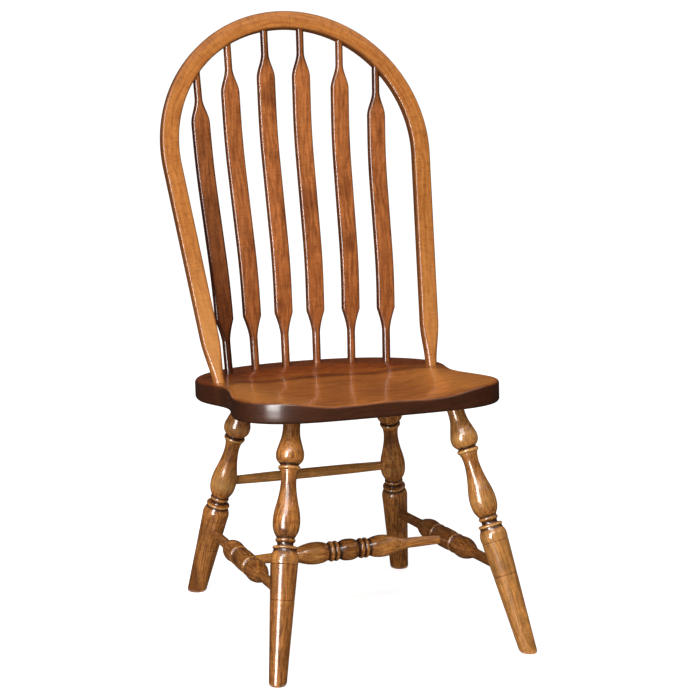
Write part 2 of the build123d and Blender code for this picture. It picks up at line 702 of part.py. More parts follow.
left_middle, right_middle = side_middle(-1), side_middle(1)
centre = (left_middle + right_middle) / 2
centre_half = (right_middle - centre).length + TENON_PAST_AXIS
centre_root = CENTRE_ROOT_D / 2
with BuildPart() as centre_stretcher:
    with BuildSketch(lathe_plane(centre, right_middle)):
        with BuildLine():
            ball_end = CENTRE_BALL / 2
            TangentArc((CENTRE_BALL_D / 2, 0), (centre_root, ball_end), tangent=STRAIGHT_DOWN)
            for count in range(2):
                start = ball_end + count * CENTRE_BEAD
                ThreePointArc(
                    (centre_root, start),
                    (CENTRE_BEAD_D / 2, start + CENTRE_BEAD / 2),
                    (centre_root, start + CENTRE_BEAD),
                )
            Spline(
                (centre_root, ball_end + 2 * CENTRE_BEAD),
                (CENTRE_VASE_D / 2, CENTRE_VASE_AT),
                (CENTRE_SHANK_D / 2, CENTRE_SHANK_AT),
                tangents=(STRETCHER_RISE, STRETCHER_FALL),
            )
            Polyline(
                (CENTRE_SHANK_D / 2, CENTRE_SHANK_AT),
                (CENTRE_TENON_D / 2, centre_half - TENON_STRAIGHT),
                (CENTRE_TENON_D / 2, centre_half),
                (0, centre_half),
            )
            mirror(about=Plane.XZ)
            Line((0, centre_half), (0, -centre_half))
        make_face()
    revolve(axis=Axis(centre, right_middle - centre))
    for side in SIDES.values():
        pin_hole(*centre_pin(side))
save(centre_stretcher, "centre_stretcher")

rear_left, rear_right = on_leg("rear", -1, REAR_AT), on_leg("rear", 1, REAR_AT)
rear_middle = (rear_left + rear_right) / 2
rear_half = (rear_right - rear_middle).length + TENON_PAST_AXIS
with BuildPart() as rear_stretcher:
    with BuildSketch(lathe_plane(rear_middle, rear_right)):
        with BuildLine():
            straight = rear_half - TENON_STRAIGHT
            TangentArc((REAR_D / 2, 0), (REAR_TENON_D / 2, straight), tangent=STRAIGHT_DOWN)
            Polyline((REAR_TENON_D / 2, straight), (REAR_TENON_D / 2, rear_half), (0, rear_half))
            mirror(about=Plane.XZ)
            Line((0, rear_half), (0, -rear_half))
        make_face()
    revolve(axis=Axis(rear_middle, rear_right - rear_middle))
    for side in SIDES.values():
        pin_hole(*rear_pin(side))
save(rear_stretcher, "rear_stretcher")

# Hidden fastenings
with BuildPart() as leg_wedges:
    for end in ("front", "rear"):
        for side in SIDES.values():
            socket, foot = leg_ends(end, side)
            with BuildSketch(lathe_plane(socket, foot)):
                with BuildLine():
                    Polyline(
                        (-WEDGE_THICKNESS / 2, wedge_start()),
                        (WEDGE_THICKNESS / 2, wedge_start()),
                        (WEDGE_TIP / 2, wedge_start() + WEDGE_LENGTH),
                        (-WEDGE_TIP / 2, wedge_start() + WEDGE_LENGTH),
                        close=True,
                    )
                make_face()
            extrude(amount=WEDGE_WIDTH / 2, both=True)
save(leg_wedges, "leg_wedges")

with BuildPart() as bow_screws:
    for side in SIDES.values():
        head = screw_plane(side).offset(SCREW_SINK - SCREW_HEAD)
        rod(head, SCREW_HEAD_D, SCREW_HEAD)
        rod(head, SCREW_D, screw_length)
save(bow_screws, "bow_screws")

with BuildPart() as spindle_pins:
    for side, pair in SPINDLES:
        pin(*spindle_pin(side, pair))
save(spindle_pins, "spindle_pins")

with BuildPart() as stretcher_pins:
    for side in SIDES.values():
        pin(*side_pin("front", side))
        pin(*side_pin("rear", side))
        pin(*rear_pin(side))
        pin(*centre_pin(side))
save(stretcher_pins, "stretcher_pins")
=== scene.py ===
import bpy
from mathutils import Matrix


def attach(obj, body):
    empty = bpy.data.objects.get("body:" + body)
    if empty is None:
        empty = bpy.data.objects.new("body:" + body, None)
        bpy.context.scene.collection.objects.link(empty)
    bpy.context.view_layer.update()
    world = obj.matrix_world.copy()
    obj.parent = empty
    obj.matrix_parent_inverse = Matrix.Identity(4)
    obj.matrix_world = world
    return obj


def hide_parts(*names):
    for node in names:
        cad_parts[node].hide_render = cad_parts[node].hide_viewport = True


bl_info = {
    "name": "Bow-back side chair",
    "version": (1, 0, 0),
    "blender": (4, 5, 0),
    "location": "View3D > Sidebar > Chair",
    "description": "Shapes and finishes the wooden pieces of a bow-back side chair over its packed frame",
    "category": "Object",
}

from functools import partial
from math import atan2, cos, exp, hypot, pi, radians, sin, sqrt, tan

import bmesh
import bpy
import numpy as np
from bpy.props import FloatProperty, FloatVectorProperty, PointerProperty
from mathutils import Matrix, Vector

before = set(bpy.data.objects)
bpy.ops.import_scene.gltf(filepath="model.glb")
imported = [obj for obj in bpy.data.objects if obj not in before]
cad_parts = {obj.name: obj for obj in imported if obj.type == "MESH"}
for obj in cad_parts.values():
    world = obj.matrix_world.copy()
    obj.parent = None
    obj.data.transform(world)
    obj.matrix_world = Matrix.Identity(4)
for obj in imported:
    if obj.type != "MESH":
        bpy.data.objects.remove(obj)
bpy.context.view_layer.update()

MM = 0.001
LEFT, RIGHT = -1, 1
SIDES = ((LEFT, "left"), (RIGHT, "right"))

# Meshes: steps round a corner and a turning, the angle of a sharp edge, and points that weld or touch
CORNER_STEPS = 7
LATHE_STEPS = 72
SHARP_ANGLE = radians(38)
WELD = 0.01 * MM
TOUCH = 0.001 * MM

# Seat outline in millimetres, right half from front to rear, measured on the tilted top of the plank
SEAT_FRONT = (0, -231)
SEAT_REAR = (0, 255)
SEAT_OUTLINE = (
    (108, -229), (205.5, -200), (239, -150), (217, -8), (232.3, 82), (218.4, 155.5), (144, 225.7),
)
OUTLINE_STEPS = 24

# Rings of the seat: points in each, then those of the underside, the edges, the side and the top
SEAT_STEPS = 192
SEAT_MIDDLE_Y = 5 * MM
SEAT_FLAT_SHARES = (0.02, 0.5, 0.9)
SEAT_EDGE_STEPS = 6
SEAT_SIDE_SHARES = (0.3, 0.6)
SEAT_RINGS = 44
SEAT_REAR_ROUND = 4 * MM
SEAT_REAR_FACING = (0.2, 0.8)

# Saddle: the row of spindles, the deck that carries them, the scoop in front of it and its low pommel
SPINDLE_ROW_AT = 197.5 * MM
SPINDLE_ROW_RADIUS = 322 * MM
SPINDLE_ROW_CENTRE = SPINDLE_ROW_AT - SPINDLE_ROW_RADIUS
DECK_STEP = 9 * MM
DECK_REACH = SPINDLE_ROW_RADIUS - DECK_STEP
SADDLE_REAR_SLOPE = 66 * MM
SADDLE_FLOOR_HALF = 90 * MM
SADDLE_HALF = 193 * MM
POMMEL_HEIGHT = 2.5 * MM
POMMEL_HALF = 45 * MM

# Tone of the seat: dark edges, darkest in front by painted shade, and painted highlights beside the saddle
SEAT_EDGE_TONE = -0.72
# Painted shade: the edge is darker the more it faces the front
SEAT_FRONT_SHADE = -0.24
SEAT_FRONT_FACING = (-0.2, 0.75)
SEAT_EDGE_GLAZE = 0.65
# Painted highlight on the top at the sides of the saddle, fading towards the rear
SEAT_SIDE_HIGHLIGHT = 0.27
SEAT_HIGHLIGHT_X = (80 * MM, 190 * MM)
SEAT_HIGHLIGHT_Y = (-20 * MM, 90 * MM)

# Painted shade behind the saddle: where it starts and ends in front of the deck, its strength and its tint
CREASE_RISE = (82 * MM, 64 * MM)
CREASE_FALL = (60 * MM, 40 * MM)
CREASE_SHADE_STRENGTH = 0.8
CREASE_SHADE_TINT = (0.3, 0.2, 0.15, 1)
DECK_RISE = (66 * MM, 30 * MM)
DECK_SHADE_STRENGTH = 0.95
DECK_SHADE_TINT = (0.44, 0.3, 0.24, 1)

# Bow: round feet that become flat limbs, and lighter towards the feet, right and left
BOW_FOOT_AT = 66 * MM
BOW_FOOT_TAPER = 80 * MM
BOW_FOOT_STEPS = 12
BOW_LIMB_SHARES = (0.2, 0.4, 0.6, 0.8)
BOW_TOP_STEPS = 96
BOW_ROUND = 4 * MM
BOW_BURY = 14 * MM
BOW_FOOT_TONES = (0.18, 0.4)
BOW_LIGHT_FOOT = 300 * MM
# Darker sides of the bow's section: partly darker stain, partly painted shade
BOW_SIDE_SHADE = 0.7
BOW_GRAIN = (0.3, 0.1, 0.0)

# Spindles from the left to the right: side and pair, with the places of the pairs from the middle outwards
SPINDLES = ((LEFT, 2), (LEFT, 1), (LEFT, 0), (RIGHT, 0), (RIGHT, 1), (RIGHT, 2))
SPINDLE_BASE_X = (30.5 * MM, 94.2 * MM, 153.9 * MM)
SPINDLE_TOP_X = (34.9 * MM, 108.9 * MM, 174.2 * MM)
SPINDLE_TOP_BACK = 2 * MM
SPINDLE_SWING = radians(3.5)
SPINDLE_BEND_AT = 0.306
SPINDLE_BEND_RADIUS = 600 * MM
SPINDLE_BEND_STEPS = 14
SPINDLE_STEPS = 130
SPINDLE_SHANK = 57 * MM
SPINDLE_SHOULDER = 41 * MM
SPINDLE_SHOULDER_EASE = 1.5
SPINDLE_NECK = 39 * MM
SPINDLE_NECK_SHOULDER = 45 * MM
SPINDLE_BURY = 12 * MM
SPINDLE_ROUND = 4.5 * MM
# Darker sides of each spindle's section: partly darker stain, partly painted shade
SPINDLE_SIDE_SHADE = 0.75
SPINDLE_GRAIN = (0.21, 0.13, 0.37)

# Tone of each spindle: at its foot and head, at its neck, and where the neck's shade fades below the bow
# The much darker feet of the left spindles, and the darker necks under the bow, are painted shade
SPINDLE_TONES = ((-0.85, -0.25), (-0.22, -0.02), (-0.02, 0.0), (-0.02, 0.05), (-0.1, 0.05), (-0.15, 0.0))
SPINDLE_NECK_SHADES = (0.0, -0.1, -0.45, -0.45, -0.1, -0.5)
SPINDLE_NECK_SHADE_FADE = (44 * MM, 84 * MM)

# Turned leg, in millimetres: distance down from the seat and diameter at the turner's marks
LEG_TENON = 20
LEG_TENON_D = 22
LEG_BURY = 9
LEG_SWELL = ((0, 29.5), (30.5, 31.9), (48, 41.8), (61, 48), (72, 44), (80.2, 30))
LEG_RING = ((80.2, 30), (84.5, 38), (88.8, 31))
LEG_STEP = ((88.8, 31.6), (91.4, 31.2))
LEG_VASE = (
    (91.6, 29.4), (103, 26.5), (122, 28.5), (140, 34.9), (160, 43.8), (177, 46.5), (192, 42), (203.5, 30),
)
LEG_BEAD = ((203.5, 30), (207, 34), (210.5, 29.5))
LEG_COVE = ((210.8, 28.4), (213.5, 27.5), (216.6, 29))
LEG_FILLET = ((217, 39), (219.5, 42.5), (222, 39.6))
LEG_COLLAR = ((222.3, 38.6), (226, 40.4), (232, 45.6), (239, 48), (246, 47), (247.2, 46.8))
LEG_GROOVE_AT = 248
LEG_SCRIBE_AT = 308.5
LEG_SCRIBE_GAP = 2
LEG_TAPER_D = 46.8
LEG_TAPER_STEPS = 8
LEG_FOOT_D = 29.9
GROOVE_HALF = 0.8
GROOVE_DEEP = 1.0
FOOT_ROUND = 2 * MM
FOOT_ROUND_STEPS = 3
LEG_GRAIN = (0.17, 0.29, 0.71)

# Stretchers, in millimetres: distance from the middle and diameter
SIDE_BARREL = ((0, 37), (18, 36.2), (34, 31))
SIDE_BEAD = ((34, 31), (37.5, 36.5), (41, 31))
SIDE_BULB = ((41, 31), (54, 36.2), (71, 38.5), (88, 32), (102, 22.6), (114, 18.6), (130, 18))
SIDE_END_D = 17
SIDE_GRAIN = {"left": (0.21, 0.77, -0.33), "right": (0.61, 0.77, 0.33)}
CENTRE_BALL = ((0, 39), (9, 37.4), (19.5, 28.5))
CENTRE_BEADS = (((19.5, 28.5), (24, 36.5), (28.5, 28.5)), ((28.5, 28.5), (33, 36.5), (37.5, 28.5)))
CENTRE_VASE = ((37.5, 28.5), (48, 36.4), (64, 40), (84, 34.4), (100, 24.4), (114, 19.2), (132, 18.4))
CENTRE_END_D = 15
CENTRE_GRAIN = (0.93, 0.55, 0.12)
REAR_NECK = 20
REAR_DIAMETERS = (19, 18.3, 16.2, 16)
REAR_GRAIN = (1.31, 0.83, 0.44)

# Relief of a turning: reach along it and full size, in millimetres, its way, and the tone it gives
GROOVE, RIDGE = 1, -1
GLAZE_RELIEF = (6.0, 1.5, GROOVE)
TONE_RELIEFS = (
    # Necks and hollows darker: painted shade
    (45.0, 11.0, GROOVE, -0.52),
    # Edges of rings and beads lighter: partly wear, partly painted highlight
    (4.5, 3.0, RIDGE, 0.6),
    # Swellings lighter: partly a burnished finish, partly painted light
    (25.0, 8.0, RIDGE, 0.2),
)

# Tone of each turning: distance in millimetres, and darker below 0 or lighter above it. Partly stain that
# differs from piece to piece, partly painted light and shade: lighter on the front right leg, the rear left
# vase and the rear stretcher, darker on the rear right leg and the lower taper of the front left leg
LEG_TONES = {
    "front_left": ((0, -0.16), (220, -0.12), (228, 0.06), (246, 0.06), (252, -0.28)),
    "front_right": ((0, 0.1), (240, 0.15), (300, 0.13)),
    "rear_left": ((0, 0.04), (110, -0.06), (175, 0.24), (205, 0.06), (260, -0.22)),
    "rear_right": ((0, -0.3), (110, -0.2), (175, 0.04), (205, -0.04), (260, -0.28)),
}
SIDE_TONES = {"left": ((0, -0.3),), "right": ((0, -0.55),)}
CENTRE_TONES = ((0, -0.5), (20, -0.45), (40, -0.15), (60, 0.04))
REAR_TONES = ((0, 0.18),)

# Finishes: how much of each figure of the wood shows, its growth layers, and the lacquer
FLAT_FINISH = dict(rings=0.0, growth=0.2, growth_axis="X", growth_scale=34.0, haze=0.11, sheen=0.1)
FINISHES = {
    "turned_stain": dict(
        streak=0.42, curl=0.3, blotch=0.75, pores=0.65, checks=0.15, rings=0.3, growth=0.55, growth_axis="Y",
        growth_scale=105.0, gloss=1.0, amber=1.0, haze=0.14, sheen=0.16),
    "bow_stain": dict(
        FLAT_FINISH, streak=0.14, curl=0.3, blotch=0.16, pores=0.4, checks=0.15, gloss=0.6, amber=0.6),
    "spindle_stain": dict(
        FLAT_FINISH, streak=0.3, curl=0.26, blotch=0.6, pores=0.5, checks=0.13, gloss=0.85, amber=0.7),
    "seat_stain": dict(
        FLAT_FINISH, streak=0.3, curl=0.1, blotch=0.42, pores=0.3, checks=0.05, gloss=0.8, amber=0.3,
        haze=0.21),
}

# Grain: how far it wanders, the mottle of light and dark streaks, and the growth layers
WANDER_SCALE = (22, 22, 9)
WANDER_REACH = (0.02, 0.02, 0.012)
MOTTLE_NOISE = ((210, 210, 24), 5.0, 0.62)
MOTTLE_RANGE = (0.34, 0.64)
STREAK_LIGHT = 0.8
STREAK_TINT = (1.0, 0.9, 0.8)
GROWTH_STRETCH = (1, 1, 0.15)
GROWTH_WAVE = dict(Distortion=5.0, Detail=2.0, Detail_Scale=0.6)
GROWTH_RANGE = (0.45, 0.95)
GROWTH_TINT = (0.46, 0.35, 0.26, 1)

# Figures of the wood in their order: along the wandering grain or not, noise, the range that shows, and tint
FIGURES = {
    "curl": (True, ((75, 75, 260), 2.5, 0.55), (0.46, 0.7), (0.4, 0.32, 0.26, 1)),
    "blotch": (False, ((26, 26, 11), 3.0, 0.5), (0.5, 0.7), (0.4, 0.31, 0.25, 1)),
    "pores": (True, ((1100, 1100, 70), 2.0, 0.6), (0.57, 0.68), (0.34, 0.27, 0.22, 1)),
    "checks": (False, ((9, 9, 330), 1.0, 0.4), (0.66, 0.72), (0.3, 0.22, 0.16, 1)),
    "rings": (False, ((4, 4, 110), 2.0, 0.6), (0.42, 0.66), (0.55, 0.45, 0.36, 1)),
}

# Tints of darker and lighter tones and of the lacquer, and the surface under it
DARK_TONE = (0.14, 0.085, 0.065, 1)
LIGHT_TINT = (0.95, 1.3, 1.9)
LIGHT_TONE = 1.8
GLAZE_STRENGTH = 0.9
LACQUER_TINT = (0.9, 0.84, 0.78)
LACQUER_IOR = 1.5
WOOD_ROUGHNESS = 0.5
WOOD_BUMP = 0.1
WOOD_BUMP_DEPTH = 0.4 * MM

# Fastenings: colour, metal and roughness, and fine lines along them
STEEL = ((0.42, 0.42, 0.44), 1.0, 0.38)
SPLIT_WOOD = ((0.52, 0.36, 0.2), 0.0, 0.7)
LINE_NOISE = ((900, 900, 200), 3.0)
LINE_SHADES = (0.7, 1.25)
LINE_BUMP = 0.15
LINE_BUMP_DEPTH = 0.2 * MM
STEEL_NODES = ("bow_screws", "spindle_pins", "stretcher_pins")
WEDGE_NODE = "leg_wedges"

# Stage: the white room, and for each lamp and card its place, its aim, and its width and height
WHITE = (1, 1, 1, 1)
FLOOR_HALF = 30
FLOOR_GREY = (0.8, 0.8, 0.8, 1)
FLOOR_GLOW = 0.74
KEY_LAMP = ((-1.5, -2.3, 3.3), (0, 0, 0.55), (2.2, 1.4))
STRIP_LAMP = ((-2.55, -2.25, 1.5), (0, -0.1, 0.6), (0.7, 2.6))
FLAG_BROWN = (0.05, 0.035, 0.03, 1)
FLAGS = {
    "rear_flag": ((0, 1.5, 1.6), (0, 0, 1.6), (8.0, 3.2)),
    "front_flag": ((1.0, -6.0, 3.0), (0, 0, 3.0), (10.0, 6.0)),
    "left_flag": ((-5.5, -1.0, 2.0), (0, -1.0, 2.0), (9.0, 4.0)),
    "right_flag": ((4.5, -2.0, 1.8), (0, -2.0, 1.8), (8.5, 3.6)),
    "floor_flag": ((0, 0, 0.004), (0, 0, 1.0), (14.0, 14.0)),
}
SOFTBOX = ((-2.45, -2.15, 1.5), (0, -0.1, 1.5), (1.25, 2.6))
SENSOR_WIDTH = 36

# Kinds of property
LengthProperty = partial(FloatProperty, unit="LENGTH")
AngleProperty = partial(FloatProperty, subtype="ANGLE")
PlaceProperty = partial(FloatVectorProperty, size=2, unit="LENGTH")
ColourProperty = partial(FloatVectorProperty, size=3, subtype="COLOR")


class SeatSizes(bpy.types.PropertyGroup):
    """Sizes of the saddled seat"""

    height: LengthProperty(name="Height", description="Top of the plank above the origin", default=434 * MM)
    tilt: AngleProperty(name="Tilt", description="Fall of the seat towards the rear", default=radians(5.4))
    thickness: LengthProperty(name="Thickness", description="Thickness of the plank", default=37 * MM)
    edge_round: LengthProperty(
        name="Edge round", description="Radius along the top and bottom edges", default=5.5 * MM)
    saddle_depth: LengthProperty(
        name="Saddle depth", description="Deepest scoop, at the back of the saddle", default=14 * MM)
    front_depth: LengthProperty(
        name="Front depth", description="Depth of the scoop at the front edge", default=11.5 * MM)


class BackSizes(bpy.types.PropertyGroup):
    """Sizes of the bow and its spindles"""

    recline: AngleProperty(
        name="Recline", description="Lean of the bow towards the rear", default=radians(22))
    lean: AngleProperty(name="Limb lean", description="Outward lean of each limb", default=radians(5.26))
    radius: LengthProperty(
        name="Top radius", description="Radius of the round top, along its middle", default=241.4 * MM)
    centre: LengthProperty(
        name="Top centre", description="Seat to the centre of the round top", default=416 * MM)
    width: LengthProperty(name="Bow width", description="Face of the bow", default=32.5 * MM)
    depth: LengthProperty(name="Bow depth", description="Front to back", default=19 * MM)
    foot: LengthProperty(
        name="Foot diameter", description="Round end of each limb at the seat", default=21 * MM)
    blade_width: LengthProperty(
        name="Blade width", description="Width of a spindle's flat", default=33.5 * MM)
    blade_depth: LengthProperty(
        name="Blade thickness", description="Thickness of a spindle's flat", default=14.5 * MM)
    shank: LengthProperty(name="Shank diameter", description="Round foot of a spindle", default=15 * MM)
    neck: LengthProperty(
        name="Neck diameter", description="Round top of a spindle at the bow", default=14 * MM)


class StanceSizes(bpy.types.PropertyGroup):
    """Where the legs stand and where the stretchers meet them"""

    front_foot: PlaceProperty(
        name="Front foot", description="Right front foot on the floor", default=(230.5 * MM, -314.3 * MM))
    rear_foot: PlaceProperty(
        name="Rear foot", description="Right rear foot on the floor", default=(204 * MM, 201.5 * MM))
    front_socket: PlaceProperty(
        name="Front socket", description="Right front leg on the underside of the seat",
        default=(149.5 * MM, -157 * MM))
    rear_socket: PlaceProperty(
        name="Rear socket", description="Right rear leg on the underside of the seat",
        default=(138.5 * MM, 118.5 * MM))
    side_front: LengthProperty(
        name="Side stretcher, front", description="Distance down the front leg", default=297 * MM)
    side_rear: LengthProperty(
        name="Side stretcher, rear", description="Distance down the rear leg", default=276 * MM)
    rear_stretcher: LengthProperty(
        name="Rear stretcher", description="Distance down the rear legs", default=173 * MM)


class FinishColours(bpy.types.PropertyGroup):
    """Stain colours under the lacquer"""

    turned: ColourProperty(
        name="Legs and stretchers", description="Stain on the turned pieces", default=(0.61, 0.258, 0.058))
    bow: ColourProperty(name="Bow", description="Stain on the bow", default=(0.56, 0.21, 0.046))
    spindle: ColourProperty(name="Spindles", description="Stain on the spindles", default=(0.5, 0.168, 0.044))
    seat: ColourProperty(name="Seat", description="Stain on the seat", default=(0.57, 0.18, 0.028))
    glaze: ColourProperty(
        name="Glaze", description="Dark glaze left in grooves", default=(0.04, 0.015, 0.006))


class StageSettings(bpy.types.PropertyGroup):
    """Camera and lamps"""

    azimuth: AngleProperty(
        name="Azimuth", description="Camera direction round the chair, from the front",
        default=radians(-21.66))
    elevation: AngleProperty(
        name="Elevation", description="Camera height as an angle", default=radians(12.84))
    roll: AngleProperty(name="Roll", description="Turn of the camera about its view", default=radians(0.48))
    distance: LengthProperty(name="Distance", description="Camera to its target", default=4.261)
    target: FloatVectorProperty(
        name="Target", description="Point in the middle of the picture",
        default=(0.0134, -0.01265, 0.4865), size=3, subtype="TRANSLATION")
    lens: FloatProperty(name="Lens", description="Focal length in millimetres", default=124.2)
    key: FloatProperty(name="Key lamp", description="Power of the large front lamp in watts", default=92.0)
    strip: FloatProperty(
        name="Strip lamp", description="Power of the tall narrow lamp in watts", default=26.0)
    glint: FloatProperty(
        name="Softbox", description="Strength of the card that the lacquer mirrors", default=24.0)
    fill: FloatProperty(name="World", description="Strength of the even light all round", default=0.41)


def aimed(place, direction):
    """Frame at a place whose Z axis points in a direction."""
    return Matrix.Translation(place) @ direction.to_track_quat("Z", "Y").to_matrix().to_4x4()


def seat_matrix(sizes):
    """Frame of the seat: its top plane, X to the right and Y to the rear."""
    return Matrix.Translation((0, 0, sizes.height)) @ Matrix.Rotation(-sizes.tilt, 4, "X")


def bow_matrix(scene):
    """Frame of the bow: X to the right, Y up the bow and Z to the front."""
    foot = seat_matrix(scene.chair_seat) @ Vector((0, BOW_FOOT_AT, 0))
    return Matrix.Translation(foot) @ Matrix.Rotation(pi / 2 - scene.chair_back.recline, 4, "X")


def leg_ends(scene, end, side):
    """Socket of a leg on the underside of the seat, and its foot on the floor."""
    seat, stance = scene.chair_seat, scene.chair_stance
    socket, foot = getattr(stance, f"{end}_socket"), getattr(stance, f"{end}_foot")
    under = seat_matrix(seat) @ Vector((side * socket[0], socket[1], -seat.thickness))
    return under, Vector((side * foot[0], foot[1], 0))


def on_leg(scene, end, side, distance):
    """Point on the axis of a leg, this far down from the seat."""
    socket, foot = leg_ends(scene, end, side)
    return socket + (foot - socket).normalized() * distance


def side_ends(scene, side):
    """Points where a side stretcher meets the axes of the rear and front legs."""
    stance = scene.chair_stance
    return on_leg(scene, "rear", side, stance.side_rear), on_leg(scene, "front", side, stance.side_front)


def smooth_step(low, high, value):
    """Ease from 0 at low to 1 at high."""
    share = min(max((value - low) / (high - low), 0), 1)
    return share * share * (3 - 2 * share)


def ring_arc(marks, steps=10):
    """Arc of a circle through three marks of distance and diameter."""
    marks = [(at, diameter / 2) for at, diameter in marks]
    (x0, y0), (x1, y1), (x2, y2) = marks
    a = np.array([[x1 - x0, y1 - y0], [x2 - x1, y2 - y1]]) * 2
    b = np.array([x1**2 - x0**2 + y1**2 - y0**2, x2**2 - x1**2 + y2**2 - y1**2])
    cx, cy = np.linalg.solve(a, b)
    start, middle, end = (atan2(y - cy, x - cx) for x, y in marks)
    turn = (end - start) % (2 * pi)
    if (middle - start) % (2 * pi) > turn:
        turn -= 2 * pi
    radius = hypot(x0 - cx, y0 - cy)
    angles = [start + turn * step / steps for step in range(steps + 1)]
    return [(cx + radius * cos(t), 2 * (cy + radius * sin(t))) for t in angles]


def flow(marks, steps=6):
    """Smooth curve through marks that don't go back on themselves."""
    x = np.array([mark[0] for mark in marks], float)
    y = np.array([mark[1] for mark in marks], float)
    gap = np.diff(x)
    rise = np.diff(y) / gap
    slope = np.empty(len(x))
    slope[0], slope[-1] = rise[0], rise[-1]
    slope[1:-1] = (rise[:-1] * gap[1:] + rise[1:] * gap[:-1]) / (gap[:-1] + gap[1:])
    t = np.arange(steps) / steps
    points = []
    for i, width in enumerate(gap):
        level = (1 + 2 * t) * (1 - t) ** 2 * y[i] + t * t * (3 - 2 * t) * y[i + 1]
        level += (t * (1 - t) ** 2 * slope[i] + t * t * (t - 1) * slope[i + 1]) * width
        points += zip(x[i] + t * width, level)
    return points + [(x[-1], y[-1])]


def rounded_path(corners, radius):
    """Points along a line of corners, with each inner corner rounded."""
    points = [corners[0]]
    for before, corner, after in zip(corners, corners[1:], corners[2:]):
        back, on = (before - corner).normalized(), (after - corner).normalized()
        reach = radius * tan((pi - back.angle(on)) / 2)
        start, end = corner + back * reach, corner + on * reach
        for step in range(SPINDLE_BEND_STEPS + 1):
            t = step / SPINDLE_BEND_STEPS
            points.append(start * (1 - t) ** 2 + corner * 2 * t * (1 - t) + end * t * t)
    return points + [corners[-1]]


def distances(points):
    """Distance of each point along its line."""
    return np.concatenate(([0], np.cumsum(np.linalg.norm(np.diff(points, axis=0), axis=1))))


def even_points(points, count):
    """The same line divided into even steps."""
    places = np.array([tuple(point) for point in points])
    along = distances(places)
    steps = np.linspace(0, along[-1], count)
    return [Vector([np.interp(step, along, places[:, axis]) for axis in range(3)]) for step in steps]


def seat_outline():
    """Evenly spaced points of the closed, smooth outline of the seat."""
    left = [(-x, y) for x, y in reversed(SEAT_OUTLINE)]
    marks = np.array([SEAT_REAR, *left, SEAT_FRONT, *SEAT_OUTLINE]) * MM
    gap = np.linalg.norm(np.roll(marks, -1, 0) - marks, axis=1)
    before = np.roll(gap, 1)
    slope = (np.roll(marks, -1, 0) - marks) / gap[:, None]
    ties = np.diag(2 * (before + gap)) + np.roll(np.diag(gap), 1, 1) + np.roll(np.diag(before), -1, 1)
    bend = np.linalg.solve(ties, 6 * (slope - np.roll(slope, 1, 0)))
    b = np.arange(OUTLINE_STEPS)[:, None] / OUTLINE_STEPS
    a = 1 - b
    points = []
    for i in range(-len(marks), 0):
        curve = ((a**3 - a) * bend[i] + (b**3 - b) * bend[i + 1]) * gap[i] ** 2 / 6
        points += list(a * marks[i] + b * marks[i + 1] + curve)
    closed = np.array(points + points[:1])
    along = distances(closed)
    places = np.arange(SEAT_STEPS) / SEAT_STEPS * along[-1]
    return np.stack([np.interp(places, along, axis) for axis in closed.T], 1)


def saddle_depth(sizes, x, y):
    """Depth of the scoop below the top plane of the seat."""
    to_row = hypot(x, y - SPINDLE_ROW_CENTRE)
    rear = 1 - smooth_step(DECK_REACH - SADDLE_REAR_SLOPE, DECK_REACH, to_row)
    side = 1 - smooth_step(SADDLE_FLOOR_HALF, SADDLE_HALF, abs(x))
    backwards = smooth_step(SEAT_FRONT[1] * MM, 0, y)
    depth = sizes.front_depth + backwards * (sizes.saddle_depth - sizes.front_depth)
    pommel = POMMEL_HEIGHT * (1 - backwards) * exp(-((x / POMMEL_HALF) ** 2))
    return rear * side * (depth - pommel)


def wood_layers(bm):
    """Vertex layers that the finishes read: grain place, glaze and tone."""
    layers = bm.verts.layers
    return layers.float_vector.new("grain"), layers.float.new("glaze"), layers.float.new("tone")


def relief(profile, reach, full, way):
    """How far each point of a turning lies in a groove or on a ridge, up to 1."""
    shares = []
    for at, diameter in profile:
        before = max(way * d for place, d in profile if at - reach <= place <= at)
        after = max(way * d for place, d in profile if at <= place <= at + reach)
        shares.append(min((min(before, after) - way * diameter) / 2 / full, 1.0))
    return shares


def turn_on_lathe(profile, shift, tones):
    """Spin a profile of distances and diameters, in millimetres, about the Z axis."""
    bm = bmesh.new()
    grain, glaze, tone = wood_layers(bm)
    outline = [(profile[0][0], 0.0)] + list(profile) + [(profile[-1][0], 0.0)]
    grooves = [0.0] + relief(profile, *GLAZE_RELIEF) + [0.0]
    shades = [np.interp(abs(at), *zip(*tones)) for at, diameter in outline]
    for reach, full, way, strength in TONE_RELIEFS:
        for index, share in enumerate(relief(profile, reach, full, way), 1):
            shades[index] += strength * share
    line = []
    for (at, diameter), groove, level in zip(outline, grooves, shades):
        vert = bm.verts.new((diameter / 2 * MM, 0, at * MM))
        vert[glaze] = groove
        vert[tone] = level
        line.append(vert)
    edges = [bm.edges.new(pair) for pair in zip(line, line[1:])]
    bmesh.ops.spin(
        bm, geom=line + edges, cent=(0, 0, 0), axis=(0, 0, 1), dvec=(0, 0, 0),
        angle=2 * pi, steps=LATHE_STEPS, use_merge=True)
    bmesh.ops.remove_doubles(bm, verts=bm.verts, dist=TOUCH)
    for vert in bm.verts:
        vert[grain] = vert.co + Vector(shift)
    return bm


def extruded_rings(bm, count, stations):
    """Extrude a ring to each station, and give the station with its numbered points."""
    place = bm.verts.layers.int.new("place")
    ring = bmesh.ops.create_circle(bm, cap_ends=True, segments=count, radius=1)["verts"]
    for index, vert in enumerate(ring):
        vert[place] = index
    edges = list(bm.edges)
    for number, station in enumerate(stations):
        if number:
            new = bmesh.ops.extrude_edge_only(bm, edges=edges)["geom"]
            ring = [item for item in new if isinstance(item, bmesh.types.BMVert)]
            fresh = set(ring)
            edges = [e for e in new if isinstance(e, bmesh.types.BMEdge) and set(e.verts) <= fresh]
        yield station, [(vert, vert[place]) for vert in ring]
    bmesh.ops.contextual_create(bm, geom=edges)


